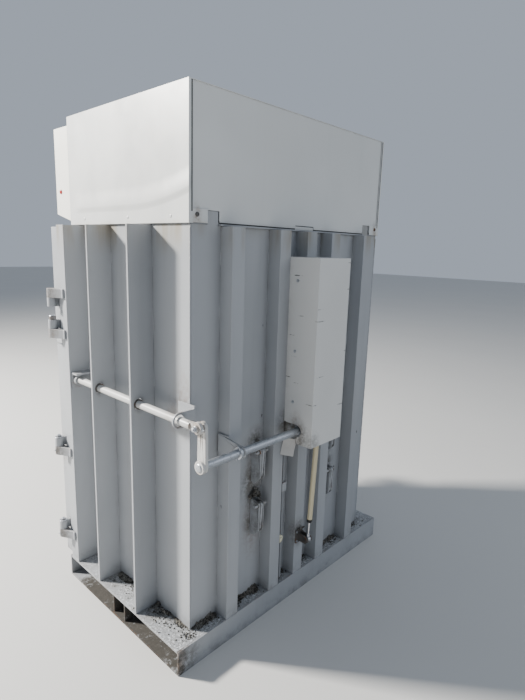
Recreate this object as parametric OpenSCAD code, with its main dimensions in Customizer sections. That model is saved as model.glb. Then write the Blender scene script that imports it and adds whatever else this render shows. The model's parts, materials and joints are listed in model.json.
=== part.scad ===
// Upright recycling baler. X runs across the machine, Y from front to rear, Z up.
// The origin lies on the floor, in the middle of the base frame.

/* [Base] */
// Depth of the base frame from front to rear
base_d = 820; // [800:10:860]
// Height of the base frame above the floor
base_h = 100; // [90:2:120]
// Thickness of the base sections
base_t = 8; // [5:1:12]
// Width of the flanges of the base sections
base_flange = 55; // [40:5:70]
// Thickness of the floor plate on the base
plate_t = 8; // [5:1:12]
// Width of the beam between the two fork pockets
beam_w = 90; // [60:10:120]

/* [Body] */
// Clear width of the bale chamber
chamber_w = 1120; // [1100:2:1140]
// Thickness of the chamber walls
wall_t = 5; // [3:1:8]
// Height of the upper edge of the walls
body_top = 1600; // [1580:5:1640]
// Width of a rear stiffening channel
rib_w = 60; // [50:2:66]
// Depth of a rear stiffening channel
rib_d = 60; // [50:1:66]
// Sheet thickness of the rear channels
rib_t = 5; // [3:1:8]
// Distance of the outer rear channels from the middle
rib_out = 403; // [390:1:415]
// Distance of the inner rear channels from the middle
rib_in = 160; // [155:1:165]
// Thickness of the side fins
fin_t = 10; // [6:1:14]
// Depth of the side fins and posts, from the wall to the edge of the base
fin_d = 100; // [95:1:110]
// Position of the front side fin along the depth
fin_front = -145; // [-170:5:-120]
// Position of the rear side fin along the depth
fin_rear = 133; // [110:1:150]
// Setback of the front posts from the base edge
post_set = 20; // [15:1:25]
// Depth of a front post
post_d = 60; // [50:2:64]
// Wall thickness of a front post
post_t = 5; // [3:1:8]
// Height of the beam above the loading opening
header_h = 44; // [36:2:46]
// Thickness of the roof plate
roof_t = 8; // [6:1:12]

/* [Hood] */
// Height of the hood
hood_h = 427; // [420:1:460]
// Sheet thickness of the hood
hood_t = 2; // [1.5:0.5:3]
// Overhang of the hood beyond each side wall
hood_over = 10; // [8:1:14]
// Overhang of the hood in front of the posts
hood_front = 50; // [44:1:60]
// Width of the folded rear edges of the hood
hood_fold = 18; // [12:1:24]
// Height of the crossbeams under the cylinder
beam_h = 80; // [60:5:100]

/* [Press] */
// Outer diameter of the cylinder barrel
barrel_d = 150; // [146:1:156]
// Outer diameter of the first telescopic stage
stage1_d = 120; // [118:1:122]
// Outer diameter of the second telescopic stage
stage2_d = 92; // [90:1:94]
// Diameter of the plunger rod
plunger_d = 66; // [64:1:68]
// Length of the cylinder barrel
barrel_l = 400; // [390:1:408]
// Height of the press plate, with its beams
platen_h = 90; // [86:1:92]
// Gap between the press plate and the chamber walls
platen_gap = 15; // [12:1:18]
// Width of a strap groove
groove_w = 36; // [30:1:42]
// Distance of the inner strap grooves from the middle
groove_in = 240; // [235:1:250]
// Distance of the outer strap grooves from the middle
groove_out = 440; // [430:1:450]

/* [Doors] */
// Height at which the lower door ends and the loading door starts
door_split = 1100; // [1090:2:1110]
// Depth of the door frames
door_d = 60; // [50:2:64]
// Thickness of the door plates
door_t = 6; // [4:1:8]
// Distance of the hinge pins outside the base edge
hinge_out = 20; // [18:1:24]
// Distance of the hinge pins in front of the posts
hinge_fwd = 30; // [28:1:34]
// Diameter of a hinge barrel
hinge_d = 36; // [34:1:38]
// Diameter of a hinge pin
pin_d = 18; // [14:1:20]
// Length of a hinge barrel half
hinge_l = 38; // [34:1:40]
// Height of the handwheel of the lower door
wheel_z = 610; // [560:10:700]
// Diameter of the handwheel
wheel_d = 200; // [160:5:220]

/* [Ejector] */
// Diameter of the push rod on the side
rod_d = 28; // [24:1:32]
// Height of the push rod
rod_z = 958; // [950:1:966]
// Distance of the push rod from the side wall
rod_off = 67; // [60:1:70]
// Diameter of the rear cross shaft
shaft_d = 30; // [26:1:34]
// Height of the rear cross shaft
shaft_z = 820; // [816:1:824]
// Distance of the rear cross shaft behind the rear channels
shaft_off = 65; // [60:1:70]
// Travel of the lifting slide
lift_travel = 332; // [300:2:340]
// Position of the lifting bar across the machine
lift_x = 94; // [90:1:98]
// Thickness of the lifting bar
lift_t = 12; // [10:1:12]
// Position of the catch pawl across the machine
pawl_x = 72; // [70:1:73]
// Height of the pawl pivot
pawl_z = 1000; // [995:1:1005]
// Height of the floor flap hinge above the floor plate
flap_rise = 18; // [16:1:20]
// Width of the floor flap
flap_w = 1040; // [1000:5:1080]

/* [Gas spring] */
// Outer diameter of the gas spring tube
gas_d = 22; // [20:1:24]
// Diameter of the gas spring rod
gas_rod_d = 10; // [8:1:10]
// Height of the lower gas spring eye
gas_z0 = 285; // [280:1:290]
// Height of the upper gas spring eye
gas_z1 = 1090; // [1086:1:1094]
// Distance of the lower eye behind the rear channels
gas_y0 = 52; // [50:1:54]
// Distance of the upper eye behind the rear channels
gas_y1 = 85; // [83:1:87]

/* [Cover] */
// Height of the rear cover
cover_h = 732; // [700:4:740]
// Height of the upper edge of the rear cover
cover_top = 1500; // [1480:5:1510]
// Distance of the cover face behind the rear channels
cover_out = 140; // [134:1:146]
// Left edge of the cover, beside the inner channel
cover_left = 130; // [128:1:130]
// Width of the cover
cover_w = 196; // [190:1:200]
// Sheet thickness of the cover
cover_t = 2; // [1.5:0.5:3]

/* [Claws] */
// Height of the pivots of the upper claws
claw_hi = 742; // [730:2:750]
// Height of the pivots of the lower claws
claw_lo = 512; // [500:2:524]
// Distance of the claw pivots behind the rear wall
claw_off = 42; // [38:1:46]
// Thickness of a claw
claw_t = 10; // [8:1:12]

/* [Control box] */
// Width of the control box
box_w = 400; // [360:10:440]
// Depth of the control box
box_d = 120; // [110:5:140]
// Height of the control box at its rear face
box_h = 377; // [360:1:400]
// Diameter of the emergency stop head
stop_d = 40; // [34:2:44]

/* [Hidden] */
$fn = 48;

run = 0.05;
gap = 0.5;
y_rear = base_d / 2;
x_in = chamber_w / 2;
x_wall = x_in + wall_t;
x_out = x_wall + fin_d;
y_wall = y_rear - rib_d;
y_in = y_wall - wall_t;
y_post = -y_rear + post_set;
rib_top = body_top - 3;
rod_x = x_wall + rod_off;
shaft_y = y_rear + shaft_off;
crank_r = rod_z - shaft_z;
up_z = door_split + 202;
x_pin = x_out + hinge_out;
y_pin = y_post - hinge_fwd;
y_door = y_post - gap;
door_x0 = -x_out + 65;
door_x1 = x_out - 10;
roof_z = body_top + roof_t;
hood_x = x_wall + hood_over;
hood_y0 = y_post - hood_front;
hood_y1 = y_wall + 6;
hood_z = body_top + 2;
hood_top = hood_z + hood_h;
tab_x = x_in - 115;
tab_w = 48;
unit_z = roof_z + beam_h;
pipe_z = unit_z + 165;
tank_x = barrel_d / 2 + 125;
tank_l = x_in - 60 - tank_x;
motor_x = -x_in + 60;
platen_z = body_top - 10 - platen_h;
platen_x = x_in - platen_gap;
platen_y0 = y_post + 12;
platen_y1 = y_in - 12;
piston_gap = 0.1;
tube_wall = 10;
toe_z = base_h + 6;
toe_t = 12;
flap_y = y_post + 40;
flap_z = base_h + flap_rise;
flap_top = base_h + 50;
shoe_r = 12;
shoe_y = y_in - 27;
pawl_y = y_wall + 20;
disc_x = lift_x + lift_t / 2 + 12;
disc_z = gas_z0 + 20;
gas_len = sqrt(pow(gas_z1 - gas_z0, 2) + pow(gas_y1 - gas_y0, 2));
gas_tilt = atan((gas_y1 - gas_y0) / (gas_z1 - gas_z0));
box_x1 = hood_x;
box_x0 = hood_x - box_w;
box_y0 = hood_y0 - box_d;
box_top = hood_top - 33;
box_z = box_top - box_h;
box_slope = 29;
lock_x = door_x0 + 35;
latch_z = 1340;

paint = "lightgray";
paint_in = "silver";
steel = "gainsboro";
dark = "dimgray";

// Block between two opposite corners
module block(a, b) {
    translate(a) cube([b[0] - a[0], b[1] - a[1], b[2] - a[2]]);
}

// Cylinder along X, from x0 to x1, with its axis through y and z
module rod_x_at(x0, x1, y, z, r) {
    translate([x0, y, z]) rotate([0, 90, 0]) cylinder(h = x1 - x0, r = r);
}

// Cylinder along Y, from y0 to y1, with its axis through x and z
module rod_y_at(y0, y1, x, z, r) {
    translate([x, y1, z]) rotate([90, 0, 0]) cylinder(h = y1 - y0, r = r);
}

// Upright cylinder from z0 to z1
module rod_z_at(z0, z1, x, y, r) {
    translate([x, y, z0]) cylinder(h = z1 - z0, r = r);
}

// Profile drawn in Y and Z, extruded along X
module slab_x(x0, x1) {
    translate([x0, 0, 0]) rotate([90, 0, 90]) linear_extrude(x1 - x0) children();
}

// Profile drawn in X and Z, extruded along Y
module slab_y(y0, y1) {
    translate([0, y1, 0]) rotate([90, 0, 0]) linear_extrude(y1 - y0) children();
}

// Flat outline of a link with two round ends
module link_2d(a, b, ra, rb) {
    d = b - a;
    l = norm(d);
    t = asin((ra - rb) / l);
    n = atan2(d[1], d[0]);
    p = [for (s = [-1, 1]) let (w = n + s * (90 - t)) [cos(w), sin(w)]];
    translate(a) circle(ra);
    translate(b) circle(rb);
    polygon([a + ra * p[0], b + rb * p[0], b + rb * p[1], a + ra * p[1]]);
}

module base_frame() {
    color(paint) {
        for (s = [0, 1]) mirror([0, s, 0])
            slab_x(-x_out, x_out) translate([y_rear, 0]) polygon([
                [0, 0], [0, base_h], [-base_t, base_h],
                [-base_t, base_t], [-base_flange, base_t], [-base_flange, 0]]);
        for (s = [-1, 1]) translate([s * (x_out - base_flange / 2), 0, base_t / 2])
            cube([base_flange, base_d - 2 * base_t, base_t], center = true);
        difference() {
            block([-x_out + 6, -beam_w / 2, 0], [x_out - 6, beam_w / 2, base_h - plate_t]);
            block([-x_out, -beam_w / 2 + base_t, base_t],
                [x_out, beam_w / 2 - base_t, base_h - plate_t - base_t]);
        }
    }
}

module base_plate() {
    y = y_rear - base_t;
    color(paint) difference() {
        block([-x_out, -y, base_h - plate_t], [x_out, y, base_h]);
        for (s = [-1, 1]) for (k = [0, 1])
            translate([s * (x_wall + 14), fin_rear + 70 + 100 * k, base_h])
                cube([12, 45, 3 * plate_t], center = true);
    }
}

module wall_side(s) {
    color(paint) mirror([s < 0 ? 1 : 0, 0, 0])
        block([x_in, y_post, base_h], [x_wall, y_wall, body_top]);
}
module wall_hinge_side() { wall_side(1); }
module wall_lock_side() { wall_side(-1); }

// Slots for the claws, the lifting toe and the catch pawl, and the hood tabs on top
module wall_rear() {
    color(paint) {
        difference() {
            block([-x_in, y_in, base_h], [x_in, y_wall, body_top]);
            for (s = [-1, 1]) for (z = [claw_hi, claw_lo])
                translate([s * groove_in, y_wall, z - 73])
                    cube([claw_t + 12, 4 * wall_t, 110], center = true);
            block([lift_x - lift_t / 2 - 2, y_in - 5, base_h - 1],
                [lift_x + lift_t / 2 + 2, y_wall + 5, toe_z + toe_t + lift_travel + 40]);
            block([pawl_x - 9, y_in - 5, pawl_z - 135],
                [pawl_x + 9, y_wall + 5, pawl_z + lift_travel + 30]);
        }
        for (s = [0, 1]) mirror([s, 0, 0])
            block([tab_x, y_in, body_top], [tab_x + tab_w, y_wall, body_top + 45]);
    }
}

module ribs_rear() {
    h = rib_top - base_h;
    color(paint) for (x = [-rib_out, -rib_in, 0, rib_in, rib_out]) {
        translate([x, y_wall, base_h]) linear_extrude(h) difference() {
            translate([-rib_w / 2, 0]) square([rib_w, rib_d]);
            translate([-rib_w / 2 + rib_t, -1]) square([rib_w - 2 * rib_t, rib_d + 1 - rib_t]);
        }
        translate([x, y_wall + rib_d / 2, rib_top - rib_t / 2])
            cube([rib_w, rib_d, rib_t], center = true);
    }
}

module fins(s) {
    color(paint) mirror([s < 0 ? 1 : 0, 0, 0]) for (y = [fin_front, fin_rear])
        difference() {
            translate([0, y - fin_t / 2, 0])
                block([x_wall, 0, base_h], [x_out, fin_t, rib_top]);
            if (s > 0) rod_y_at(y - fin_t, y + fin_t, rod_x, rod_z, rod_d / 2 + 7);
        }
}
module fins_hinge_side() { fins(1); }
module fins_lock_side() { fins(-1); }

module post(s) {
    y1 = y_post + post_d;
    color(paint) mirror([s < 0 ? 1 : 0, 0, 0]) difference() {
        block([x_wall, y_post, base_h], [x_out, y1, rib_top]);
        block([x_wall + post_t, y_post + post_t, base_h - 1],
            [x_out - post_t, y1 - post_t, rib_top - post_t]);
        if (s > 0) rod_y_at(y_post - 1, y1 + 1, rod_x, rod_z, rod_d / 2 + 5);
    }
}
module post_hinge_side() { post(1); }
module post_lock_side() { post(-1); }

module header_beam() {
    color(paint) difference() {
        block([-x_in, y_post, body_top - header_h], [x_in, y_post + post_d, body_top]);
        block([-x_in - 1, y_post + post_t, body_top - header_h + post_t],
            [x_in + 1, y_post + post_d - post_t, body_top - post_t]);
    }
}

// Plate on the walls, with the folded seats of the hood and the rear lip
module roof_plate() {
    color(paint_in) {
        difference() {
            block([-x_wall, hood_y0 + hood_t, body_top], [x_wall, y_wall, roof_z]);
            rod_z_at(body_top - 1, roof_z + 1, 0, 0, stage1_d / 2 + 3);
            for (s = [0, 1]) mirror([s, 0, 0])
                block([tab_x - 2, y_in - 1, body_top - 1], [tab_x + tab_w + 2, y_wall + 1, roof_z + 1]);
        }
        for (s = [0, 1]) mirror([s, 0, 0]) for (y = [-320, 0, 260])
            slab_y(y - 30, y + 30) polygon([
                [x_wall - 2, roof_z], [x_wall - 2, body_top + 4],
                [hood_x - hood_t, body_top + 4], [hood_x - hood_t, roof_z + 30],
                [hood_x - hood_t - 4, roof_z + 30], [hood_x - hood_t - 4, roof_z]]);
        block([-tab_x, y_wall, body_top - 2], [tab_x, y_wall + 12, body_top + 4]);
    }
}

module crossbeams() {
    color(paint_in) for (s = [0, 1]) mirror([0, s, 0])
        slab_x(-x_in, x_in) translate([barrel_d / 2 + 25, roof_z]) polygon([
            [0, 0], [50, 0], [50, 7], [7, 7],
            [7, beam_h - 7], [50, beam_h - 7], [50, beam_h], [0, beam_h]]);
}

// Sheet hood: open below, with folded rear edges and an inset rear panel
module hood() {
    color(paint) difference() {
        union() {
            difference() {
                block([-hood_x, hood_y0, hood_z], [hood_x, hood_y1, hood_top]);
                block([-hood_x + hood_t, hood_y0 + hood_t, hood_z - 1],
                    [hood_x - hood_t, hood_y1 - hood_t, hood_top - hood_t]);
                block([-hood_x + hood_fold, hood_y1 - hood_t - 1, hood_z - 1],
                    [hood_x - hood_fold, hood_y1 + 1, hood_top - hood_t]);
            }
            block([-hood_x + hood_t, hood_y1 - hood_t - 4, hood_z + 12],
                [hood_x - hood_t, hood_y1 - hood_t - 2, hood_top - hood_t]);
            for (s = [0, 1]) mirror([s, 0, 0])
                block([hood_x - 90, hood_y1 - hood_t - 2, hood_z + 12],
                    [hood_x - hood_fold + 1, hood_y1, hood_z + 46]);
        }
        for (s = [0, 1]) mirror([s, 0, 0])
            block([tab_x - 3, y_in - 2, hood_z - 1], [tab_x + tab_w + 3, hood_y1 + 1, hood_z + 44]);
        block([-75, y_in, hood_z - 1], [42, hood_y1 + 1, hood_z + 18]);
    }
}

// Heads of the screws in the hood, the cover and the brackets
module fasteners() {
    color(dark) {
        for (s = [0, 1]) mirror([s, 0, 0])
            rod_y_at(hood_y1, hood_y1 + 5, hood_x - 34, hood_z + 28, 6);
        for (s = [0, 1]) mirror([s, 0, 0]) for (y = [-320, 0, 260])
            rod_x_at(hood_x, hood_x + 4, y, hood_z + 22, 6);
        for (k = [0.12, 0.49, 0.77])
            rod_x_at(cover_left, cover_left + 4, y_rear + 40, cover_top - k * cover_h, 5);
    }
}

// Sheet box with a sloping underside, open towards its door
module control_box() {
    t = 2;
    color(paint) {
        difference() {
            slab_x(box_x0, box_x1) polygon([
                [hood_y0, box_z], [hood_y0, box_top], [box_y0, box_top],
                [box_y0, box_z + box_slope]]);
            slab_x(box_x0 + t, box_x1 - t) polygon([
                [hood_y0 - t, box_z + t], [hood_y0 - t, box_top - t],
                [box_y0 + t, box_top - t], [box_y0 + t, box_z + box_slope + t]]);
            block([box_x0 + 12, box_y0 - 1, box_z + box_slope + 12],
                [box_x1 - 12, box_y0 + t + 1, box_top - 12]);
        }
    }
    color("silver") for (z = [box_z + 110, box_z + 240])
        block([box_x0 + 40, hood_y0 - t - 8, z], [box_x1 - 40, hood_y0 - t, z + 35]);
    color("dimgray") for (k = [0 : 4])
        block([box_x0 + 52 + 60 * k, hood_y0 - t - 70, box_z + 95],
            [box_x0 + 98 + 60 * k, hood_y0 - t - 8, box_z + 165]);
    color("gray") for (k = [0 : 7])
        block([box_x0 + 52 + 36 * k, hood_y0 - t - 50, box_z + 232],
            [box_x0 + 78 + 36 * k, hood_y0 - t - 8, box_z + 285]);
    color("red") rod_x_at(box_x1, box_x1 + 3, hood_y0 - 78, box_z + 121, 8);
    color("black") for (k = [0, 1])
        rod_z_at(box_z - 26, box_z + 8, box_x0 + 60 + 50 * k, hood_y0 - 25, 11);
}

// Sheet oil tank on the crossbeams
module oil_tank() {
    x1 = tank_x + tank_l;
    z1 = unit_z + 200;
    color("slategray") {
        block([tank_x, -150, unit_z], [x1, 150, z1]);
        block([tank_x - 12, -162, z1], [x1 + 12, 162, z1 + 6]);
        rod_z_at(z1 + 6, z1 + 36, tank_x + 60, -90, 28);
        rod_z_at(z1 + 6, z1 + 22, x1 - 60, 90, 38);
    }
}

// Finned electric motor lying across the crossbeams, with its terminal box
module motor() {
    z = unit_z + 100;
    x = motor_x;
    color("steelblue") {
        difference() {
            union() {
                rod_x_at(x, x + 230, 0, z, 78);
                for (k = [0 : 17]) translate([x + 115, 0, z]) rotate([20 * k, 0, 0])
                    translate([0, 0, 82]) cube([190, 4, 16], center = true);
            }
            block([x + 20, -60, unit_z - 10], [x + 210, 60, unit_z + 8]);
        }
        rod_x_at(x - 30, x, 0, z, 84);
        rod_x_at(x + 230, x + 244, 0, z, 90);
        block([x + 70, -50, z + 84], [x + 160, 50, z + 124]);
        for (dx = [30, 180]) for (s = [-1, 1]) translate([x + dx, s * 75, unit_z + 6])
            cube([44, 60, 12], center = true);
        for (dx = [30, 180]) block([x + dx - 8, -88, unit_z + 12], [x + dx + 8, 88, unit_z + 60]);
    }
}

// Pump body and valve block between the motor and the cylinder
module valve_block() {
    z = unit_z + 100;
    x = motor_x + 244;
    color("gray") {
        rod_x_at(x, x + 20, 0, z, 60);
        rod_x_at(x + 20, x + 96, 0, z, 44);
        block([x + 41, -45, z + 30], [x + 91, 45, z + 100]);
        for (y = [-24, 24]) rod_z_at(z + 100, z + 145, x + 66, y, 15);
    }
}

// Two bent steel pipes from the valve block to the cylinder and the tank
module oil_pipes() {
    z = pipe_z;
    y = barrel_d / 2 + 30;
    x = motor_x + 310;
    color("silver") {
        for (s = [-1, 1]) {
            rod_y_at(min(s * 45, s * (y - 25)), max(s * 45, s * (y - 25)), x, z, 6);
            translate([x + 25, s * (y - 25), z]) mirror([0, s < 0 ? 1 : 0, 0])
                rotate([0, 0, 90]) rotate_extrude(angle = 90) translate([25, 0]) circle(6);
        }
        rod_x_at(x + 25, tank_x, y, z, 6);
        rod_x_at(x + 25, -25, -y, z, 6);
        translate([-25, -y + 20, z]) rotate([0, 0, -90])
            rotate_extrude(angle = 90) translate([20, 0]) circle(6);
    }
}

// Barrel on its square flange, with the gland ring at its mouth
module cylinder_barrel() {
    z1 = roof_z + barrel_l;
    r = barrel_d / 2;
    bore = stage1_d / 2 + 4;
    f = unit_z;
    color("darkslategray") difference() {
        union() {
            rod_z_at(roof_z, z1, 0, 0, r);
            block([-r - 50, -r - 50, f], [r + 50, r + 50, f + 20]);
            rod_z_at(z1 - 30, z1, 0, 0, r + 4);
            block([-25, -r - 10, pipe_z - 18], [15, -r + 12, pipe_z + 18]);
        }
        rod_z_at(roof_z + 30, z1 - 20, 0, 0, bore);
        rod_z_at(roof_z - 1, roof_z + 31, 0, 0, stage1_d / 2 + run);
        for (x = [-1, 1]) for (y = [-1, 1])
            rod_z_at(f - 1, f + 21, x * (r + 28), y * (r + 32), 9);
    }
}

// One telescopic tube: piston at its top, gland ring at its mouth
module stage(z0, z1, d, bore_above, d_next) {
    color("silver") difference() {
        union() {
            rod_z_at(z0, z1, 0, 0, d / 2);
            rod_z_at(z1 - 24, z1, 0, 0, bore_above - piston_gap);
        }
        if (d_next > 0) {
            rod_z_at(z0 + 30, z1 + 1, 0, 0, d_next / 2 + 4);
            rod_z_at(z0 - 1, z0 + 31, 0, 0, d_next / 2 + run);
        }
    }
}
module stage_one() {
    stage(roof_z - 4, roof_z + barrel_l - 24, stage1_d, stage1_d / 2 + 4, stage2_d);
}
module stage_two() {
    stage(roof_z - 8, roof_z + barrel_l - 36, stage2_d, stage2_d / 2 + 4, plunger_d);
}
module plunger() {
    z0 = platen_z + platen_h;
    stage(z0, roof_z + barrel_l - 48, plunger_d, plunger_d / 2 + 4, 0);
    color("silver") difference() {
        rod_z_at(z0, z0 + 8, 0, 0, stage1_d / 2 + 20);
        for (a = [0 : 60 : 300]) rotate([0, 0, a])
            rod_z_at(z0 - 1, z0 + 9, stage1_d / 2 + 6, 0, 6);
    }
}

grooves = [-groove_out, -groove_in, 0, groove_in, groove_out];

// Press plate: pads between strap grooves below, plate and beams above
module platen() {
    z1 = platen_z + 34;
    z2 = z1 + 14;
    edges = concat([-platen_x], [for (x = grooves) each [x - groove_w / 2, x + groove_w / 2]],
        [platen_x]);
    color("gray") {
        difference() {
            union() {
                for (k = [0 : len(edges) / 2 - 1])
                    slab_y(platen_y0, platen_y1) difference() {
                        translate([edges[2 * k], platen_z])
                            square([edges[2 * k + 1] - edges[2 * k], z1 - platen_z]);
                        translate([edges[2 * k] + 8, platen_z + 8])
                            square([edges[2 * k + 1] - edges[2 * k] - 16, z1 - platen_z - 8]);
                    }
                block([-platen_x, platen_y0, z1], [platen_x, platen_y1, z2]);
            }
            for (x = grooves) {
                block([x - groove_w / 2, platen_y1 - 60, z1 - 1],
                    [x + groove_w / 2, platen_y1 + 1, z2 + 1]);
                block([x - groove_w / 2, platen_y0 - 1, z1 - 1],
                    [x + groove_w / 2, platen_y0 + 30, z2 + 1]);
            }
            block([pawl_x - 12, platen_y1 - 40, platen_z - 1],
                [pawl_x + 12, platen_y1 + 1, z2 + 1]);
        }
        for (s = [-1, 1]) slab_x(-platen_x + 20, platen_x - 20)
            translate([s * 140, z2]) mirror([s < 0 ? 1 : 0, 0]) polygon([
                [0, 0], [50, 0], [50, 6], [6, 6], [6, platen_h - 54],
                [50, platen_h - 54], [50, platen_h - 48], [0, platen_h - 48]]);
        for (s = [-1, 1]) translate([s * 150, 0, z2 + (platen_h - 48) / 2])
            cube([12, 280, platen_h - 48], center = true);
        block([-105, -105, z2], [105, 105, platen_z + platen_h]);
    }
}

// Nylon blocks that guide the press plate on the side walls
module platen_shoes() {
    color("ivory") for (s = [0, 1]) mirror([s, 0, 0]) for (y = [-260, 240])
        difference() {
            block([platen_x, y - 45, platen_z + 2], [x_in - gap, y + 45, platen_z + 46]);
            for (k = [-1, 1]) rod_x_at(x_in - gap - 6, x_in, y + 25 * k, platen_z + 24, 8);
        }
}

// Pin halves of the door hinges on the post, with their arms
module hinge_arm(z0, z1) {
    block([x_out, y_post - 8, z0], [x_out + 8, y_post + 44, z1]);
    translate([0, 0, z0]) linear_extrude(z1 - z0) difference() {
        union() {
            translate([x_pin, y_pin]) circle(hinge_d / 2);
            polygon([[x_out, y_post], [x_out + 2, y_pin - 2],
                [x_pin, y_pin], [x_pin + 16, y_pin + 8], [x_out + 8, y_post + 30]]);
        }
    }
}
module door_hinges() {
    color(paint) {
        hinge_arm(up_z, up_z + hinge_l);
        rod_z_at(up_z - hinge_l - gap, up_z, x_pin, y_pin, pin_d / 2);
        hinge_arm(door_split + 32, door_split + 32 + hinge_l);
        rod_z_at(door_split + 32 + hinge_l, door_split + 32 + 2 * hinge_l + gap,
            x_pin, y_pin, pin_d / 2);
        rod_z_at(door_split + 32 + 2 * hinge_l + gap, door_split + 32 + 2 * hinge_l + 16,
            x_pin, y_pin, pin_d / 2 + 5);
        for (z = [base_h + 105, base_h + 507]) {
            hinge_arm(z, z + hinge_l);
            rod_z_at(z + hinge_l, z + 2 * hinge_l + 10, x_pin, y_pin, pin_d / 2);
        }
    }
}

// Half of a hinge on a door: barrel with its bore, and the leaf to the door frame
module hinge_leaf(z0) {
    translate([0, 0, z0 + gap]) linear_extrude(hinge_l - gap) difference() {
        union() {
            translate([x_pin, y_pin]) circle(hinge_d / 2);
            translate([door_x1 - 2, y_pin - 10]) square([x_pin - door_x1 + 2, 20]);
        }
        translate([x_pin, y_pin]) circle(pin_d / 2 + run);
    }
}

// Door panel with its frame of channels and cross ribs
module door_panel(z0, z1, ribs) {
    y0 = y_door - door_t;
    y1 = y0 - door_d;
    block([door_x0, y0, z0], [door_x1, y_door, z1]);
    difference() {
        block([door_x0, y1, z0], [door_x1, y0, z1]);
        block([door_x0 + 50, y1 - 1, z0 + 50], [door_x1 - 50, y0 + 1, z1 - 50]);
        block([door_x0 + 5, y1 + 5, z0 + 5], [door_x1 - 5, y0, z1 - 5]);
    }
    for (z = ribs) slab_x(door_x0 + 45, door_x1 - 45) translate([y1, z - 30])
        difference() {
            square([door_d, 60]);
            translate([5, 5]) square([door_d, 50]);
        }
}

module bale_door() {
    z0 = base_h + 12;
    z1 = door_split - 4;
    y1 = y_door - door_t - door_d;
    color(paint) {
        difference() {
            union() {
                door_panel(z0, z1, [z0 + 250, wheel_z, z1 - 230]);
                block([lock_x - 35, y1 - 10, wheel_z - 40], [lock_x + 45, y1, wheel_z + 40]);
            }
            rod_y_at(y1 - 11, y1 + 6, lock_x + 5, wheel_z, 12 + run);
        }
        for (z = [base_h + 105, base_h + 507]) hinge_leaf(z + hinge_l);
    }
}

module loading_door() {
    z0 = door_split + 4;
    z1 = body_top - 10;
    y1 = y_door - door_t - door_d;
    color(paint) {
        difference() {
            union() {
                door_panel(z0, z1, [latch_z]);
                block([lock_x - 30, y1 - 8, latch_z - 30], [lock_x + 40, y1, latch_z + 30]);
            }
            rod_y_at(y1 - 9, y1 + 6, lock_x + 5, latch_z, 9 + run);
        }
        hinge_leaf(up_z - hinge_l - gap);
        hinge_leaf(door_split + 32 + hinge_l);
    }
}

// Bent round bar, welded to a door frame as a pull grip
module grip(z) {
    y = y_door - door_t - door_d;
    x = door_x0 + 25;
    r = 14;
    color("dimgray") for (s = [0, 1]) translate([x, y, z]) mirror([0, 0, s]) {
        rod_y_at(-42 + r, 0, 0, 80, 7);
        translate([0, -42 + r, 80 - r]) rotate([0, 90, 0]) rotate([0, 0, 180])
            rotate_extrude(angle = 90) translate([r, 0]) circle(7);
        rod_z_at(-1, 80 - r, 0, -42, 7);
    }
}
module lower_grip() { grip(wheel_z + 230); }
module upper_grip() { grip(latch_z + 160); }

// Spoked wheel on its spindle, with the locking tongue
module handwheel() {
    y1 = y_door - door_t - door_d;
    x = lock_x + 5;
    r = wheel_d / 2 - 9;
    color("dimgray") {
        rod_y_at(y1 - 78, y1 + 5, x, wheel_z, 12);
        translate([x, y1 - 70, wheel_z]) rotate([90, 0, 0]) {
            rotate_extrude() translate([r, 0]) circle(9);
            cylinder(h = 26, r = 22, center = true);
            for (a = [90 : 72 : 378]) rotate([0, 0, a]) translate([r / 2, 0, 0])
                rotate([0, 90, 0]) cylinder(h = r - 6, r = 7, center = true);
        }
        slab_y(y1 - 22, y1 - 12)
            link_2d([x, wheel_z], [x, wheel_z + 62], 20, 13);
    }
}

module keeper(z, h, drop) {
    y1 = y_door - door_t - door_d;
    color(paint) translate([0, 0, z - h / 2]) linear_extrude(h) polygon([
        [-x_out + 3, y_post], [-x_out + 3, y1 - drop - 12], [door_x0 - 14, y1 - drop - 12],
        [door_x0 - 14, y1 - drop - 3], [-x_out + 12, y1 - drop - 3],
        [-x_out + 12, y_post - 8], [door_x0 - 12, y_post - 8], [door_x0 - 12, y_post]]);
}
module lock_keeper() { keeper(wheel_z, 60, 24); }
module latch_keeper() { keeper(latch_z, 46, 20); }

// Lever handle with the tongue of the loading door
module door_latch() {
    y1 = y_door - door_t - door_d;
    x = lock_x + 5;
    color("dimgray") {
        rod_y_at(y1 - 44, y1 + 5, x, latch_z, 9);
        slab_y(y1 - 18, y1 - 10) link_2d([x, latch_z], [x, latch_z + 58], 16, 11);
        slab_y(y1 - 44, y1 - 34) link_2d([x, latch_z], [x, latch_z - 120], 17, 11);
        rod_y_at(y1 - 80, y1 - 44, x, latch_z - 120, 11);
    }
}

// Bracket at the post with its close bore, and the wide eye at the rear corner
module rod_guides() {
    y0 = y_post + post_d;
    color(paint) {
        difference() {
            union() {
                block([rod_x - 50, y0, rod_z - 34], [rod_x + 26, y0 + 8, rod_z + 34]);
                block([rod_x - 50, y0 + 8, rod_z + 26], [rod_x + 26, y0 + 46, rod_z + 34]);
                rod_y_at(y0 + 8, y0 + 26, rod_x, rod_z, rod_d / 2 + 8);
            }
            rod_y_at(y0 - 1, y0 + 60, rod_x, rod_z, rod_d / 2 + run);
        }
        block([x_wall, y_wall - 60, rod_z - 30], [x_wall + 6, y_wall + 30, rod_z + 38]);
        slab_y(y_wall + 22, y_wall + 30) difference() {
            union() {
                translate([rod_x, rod_z]) circle(rod_d / 2 + 14);
                translate([x_wall + 6, rod_z - 28]) square([rod_x - x_wall - 6, 56]);
            }
            translate([rod_x, rod_z]) circle(rod_d / 2 + 7);
        }
    }
}

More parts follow.
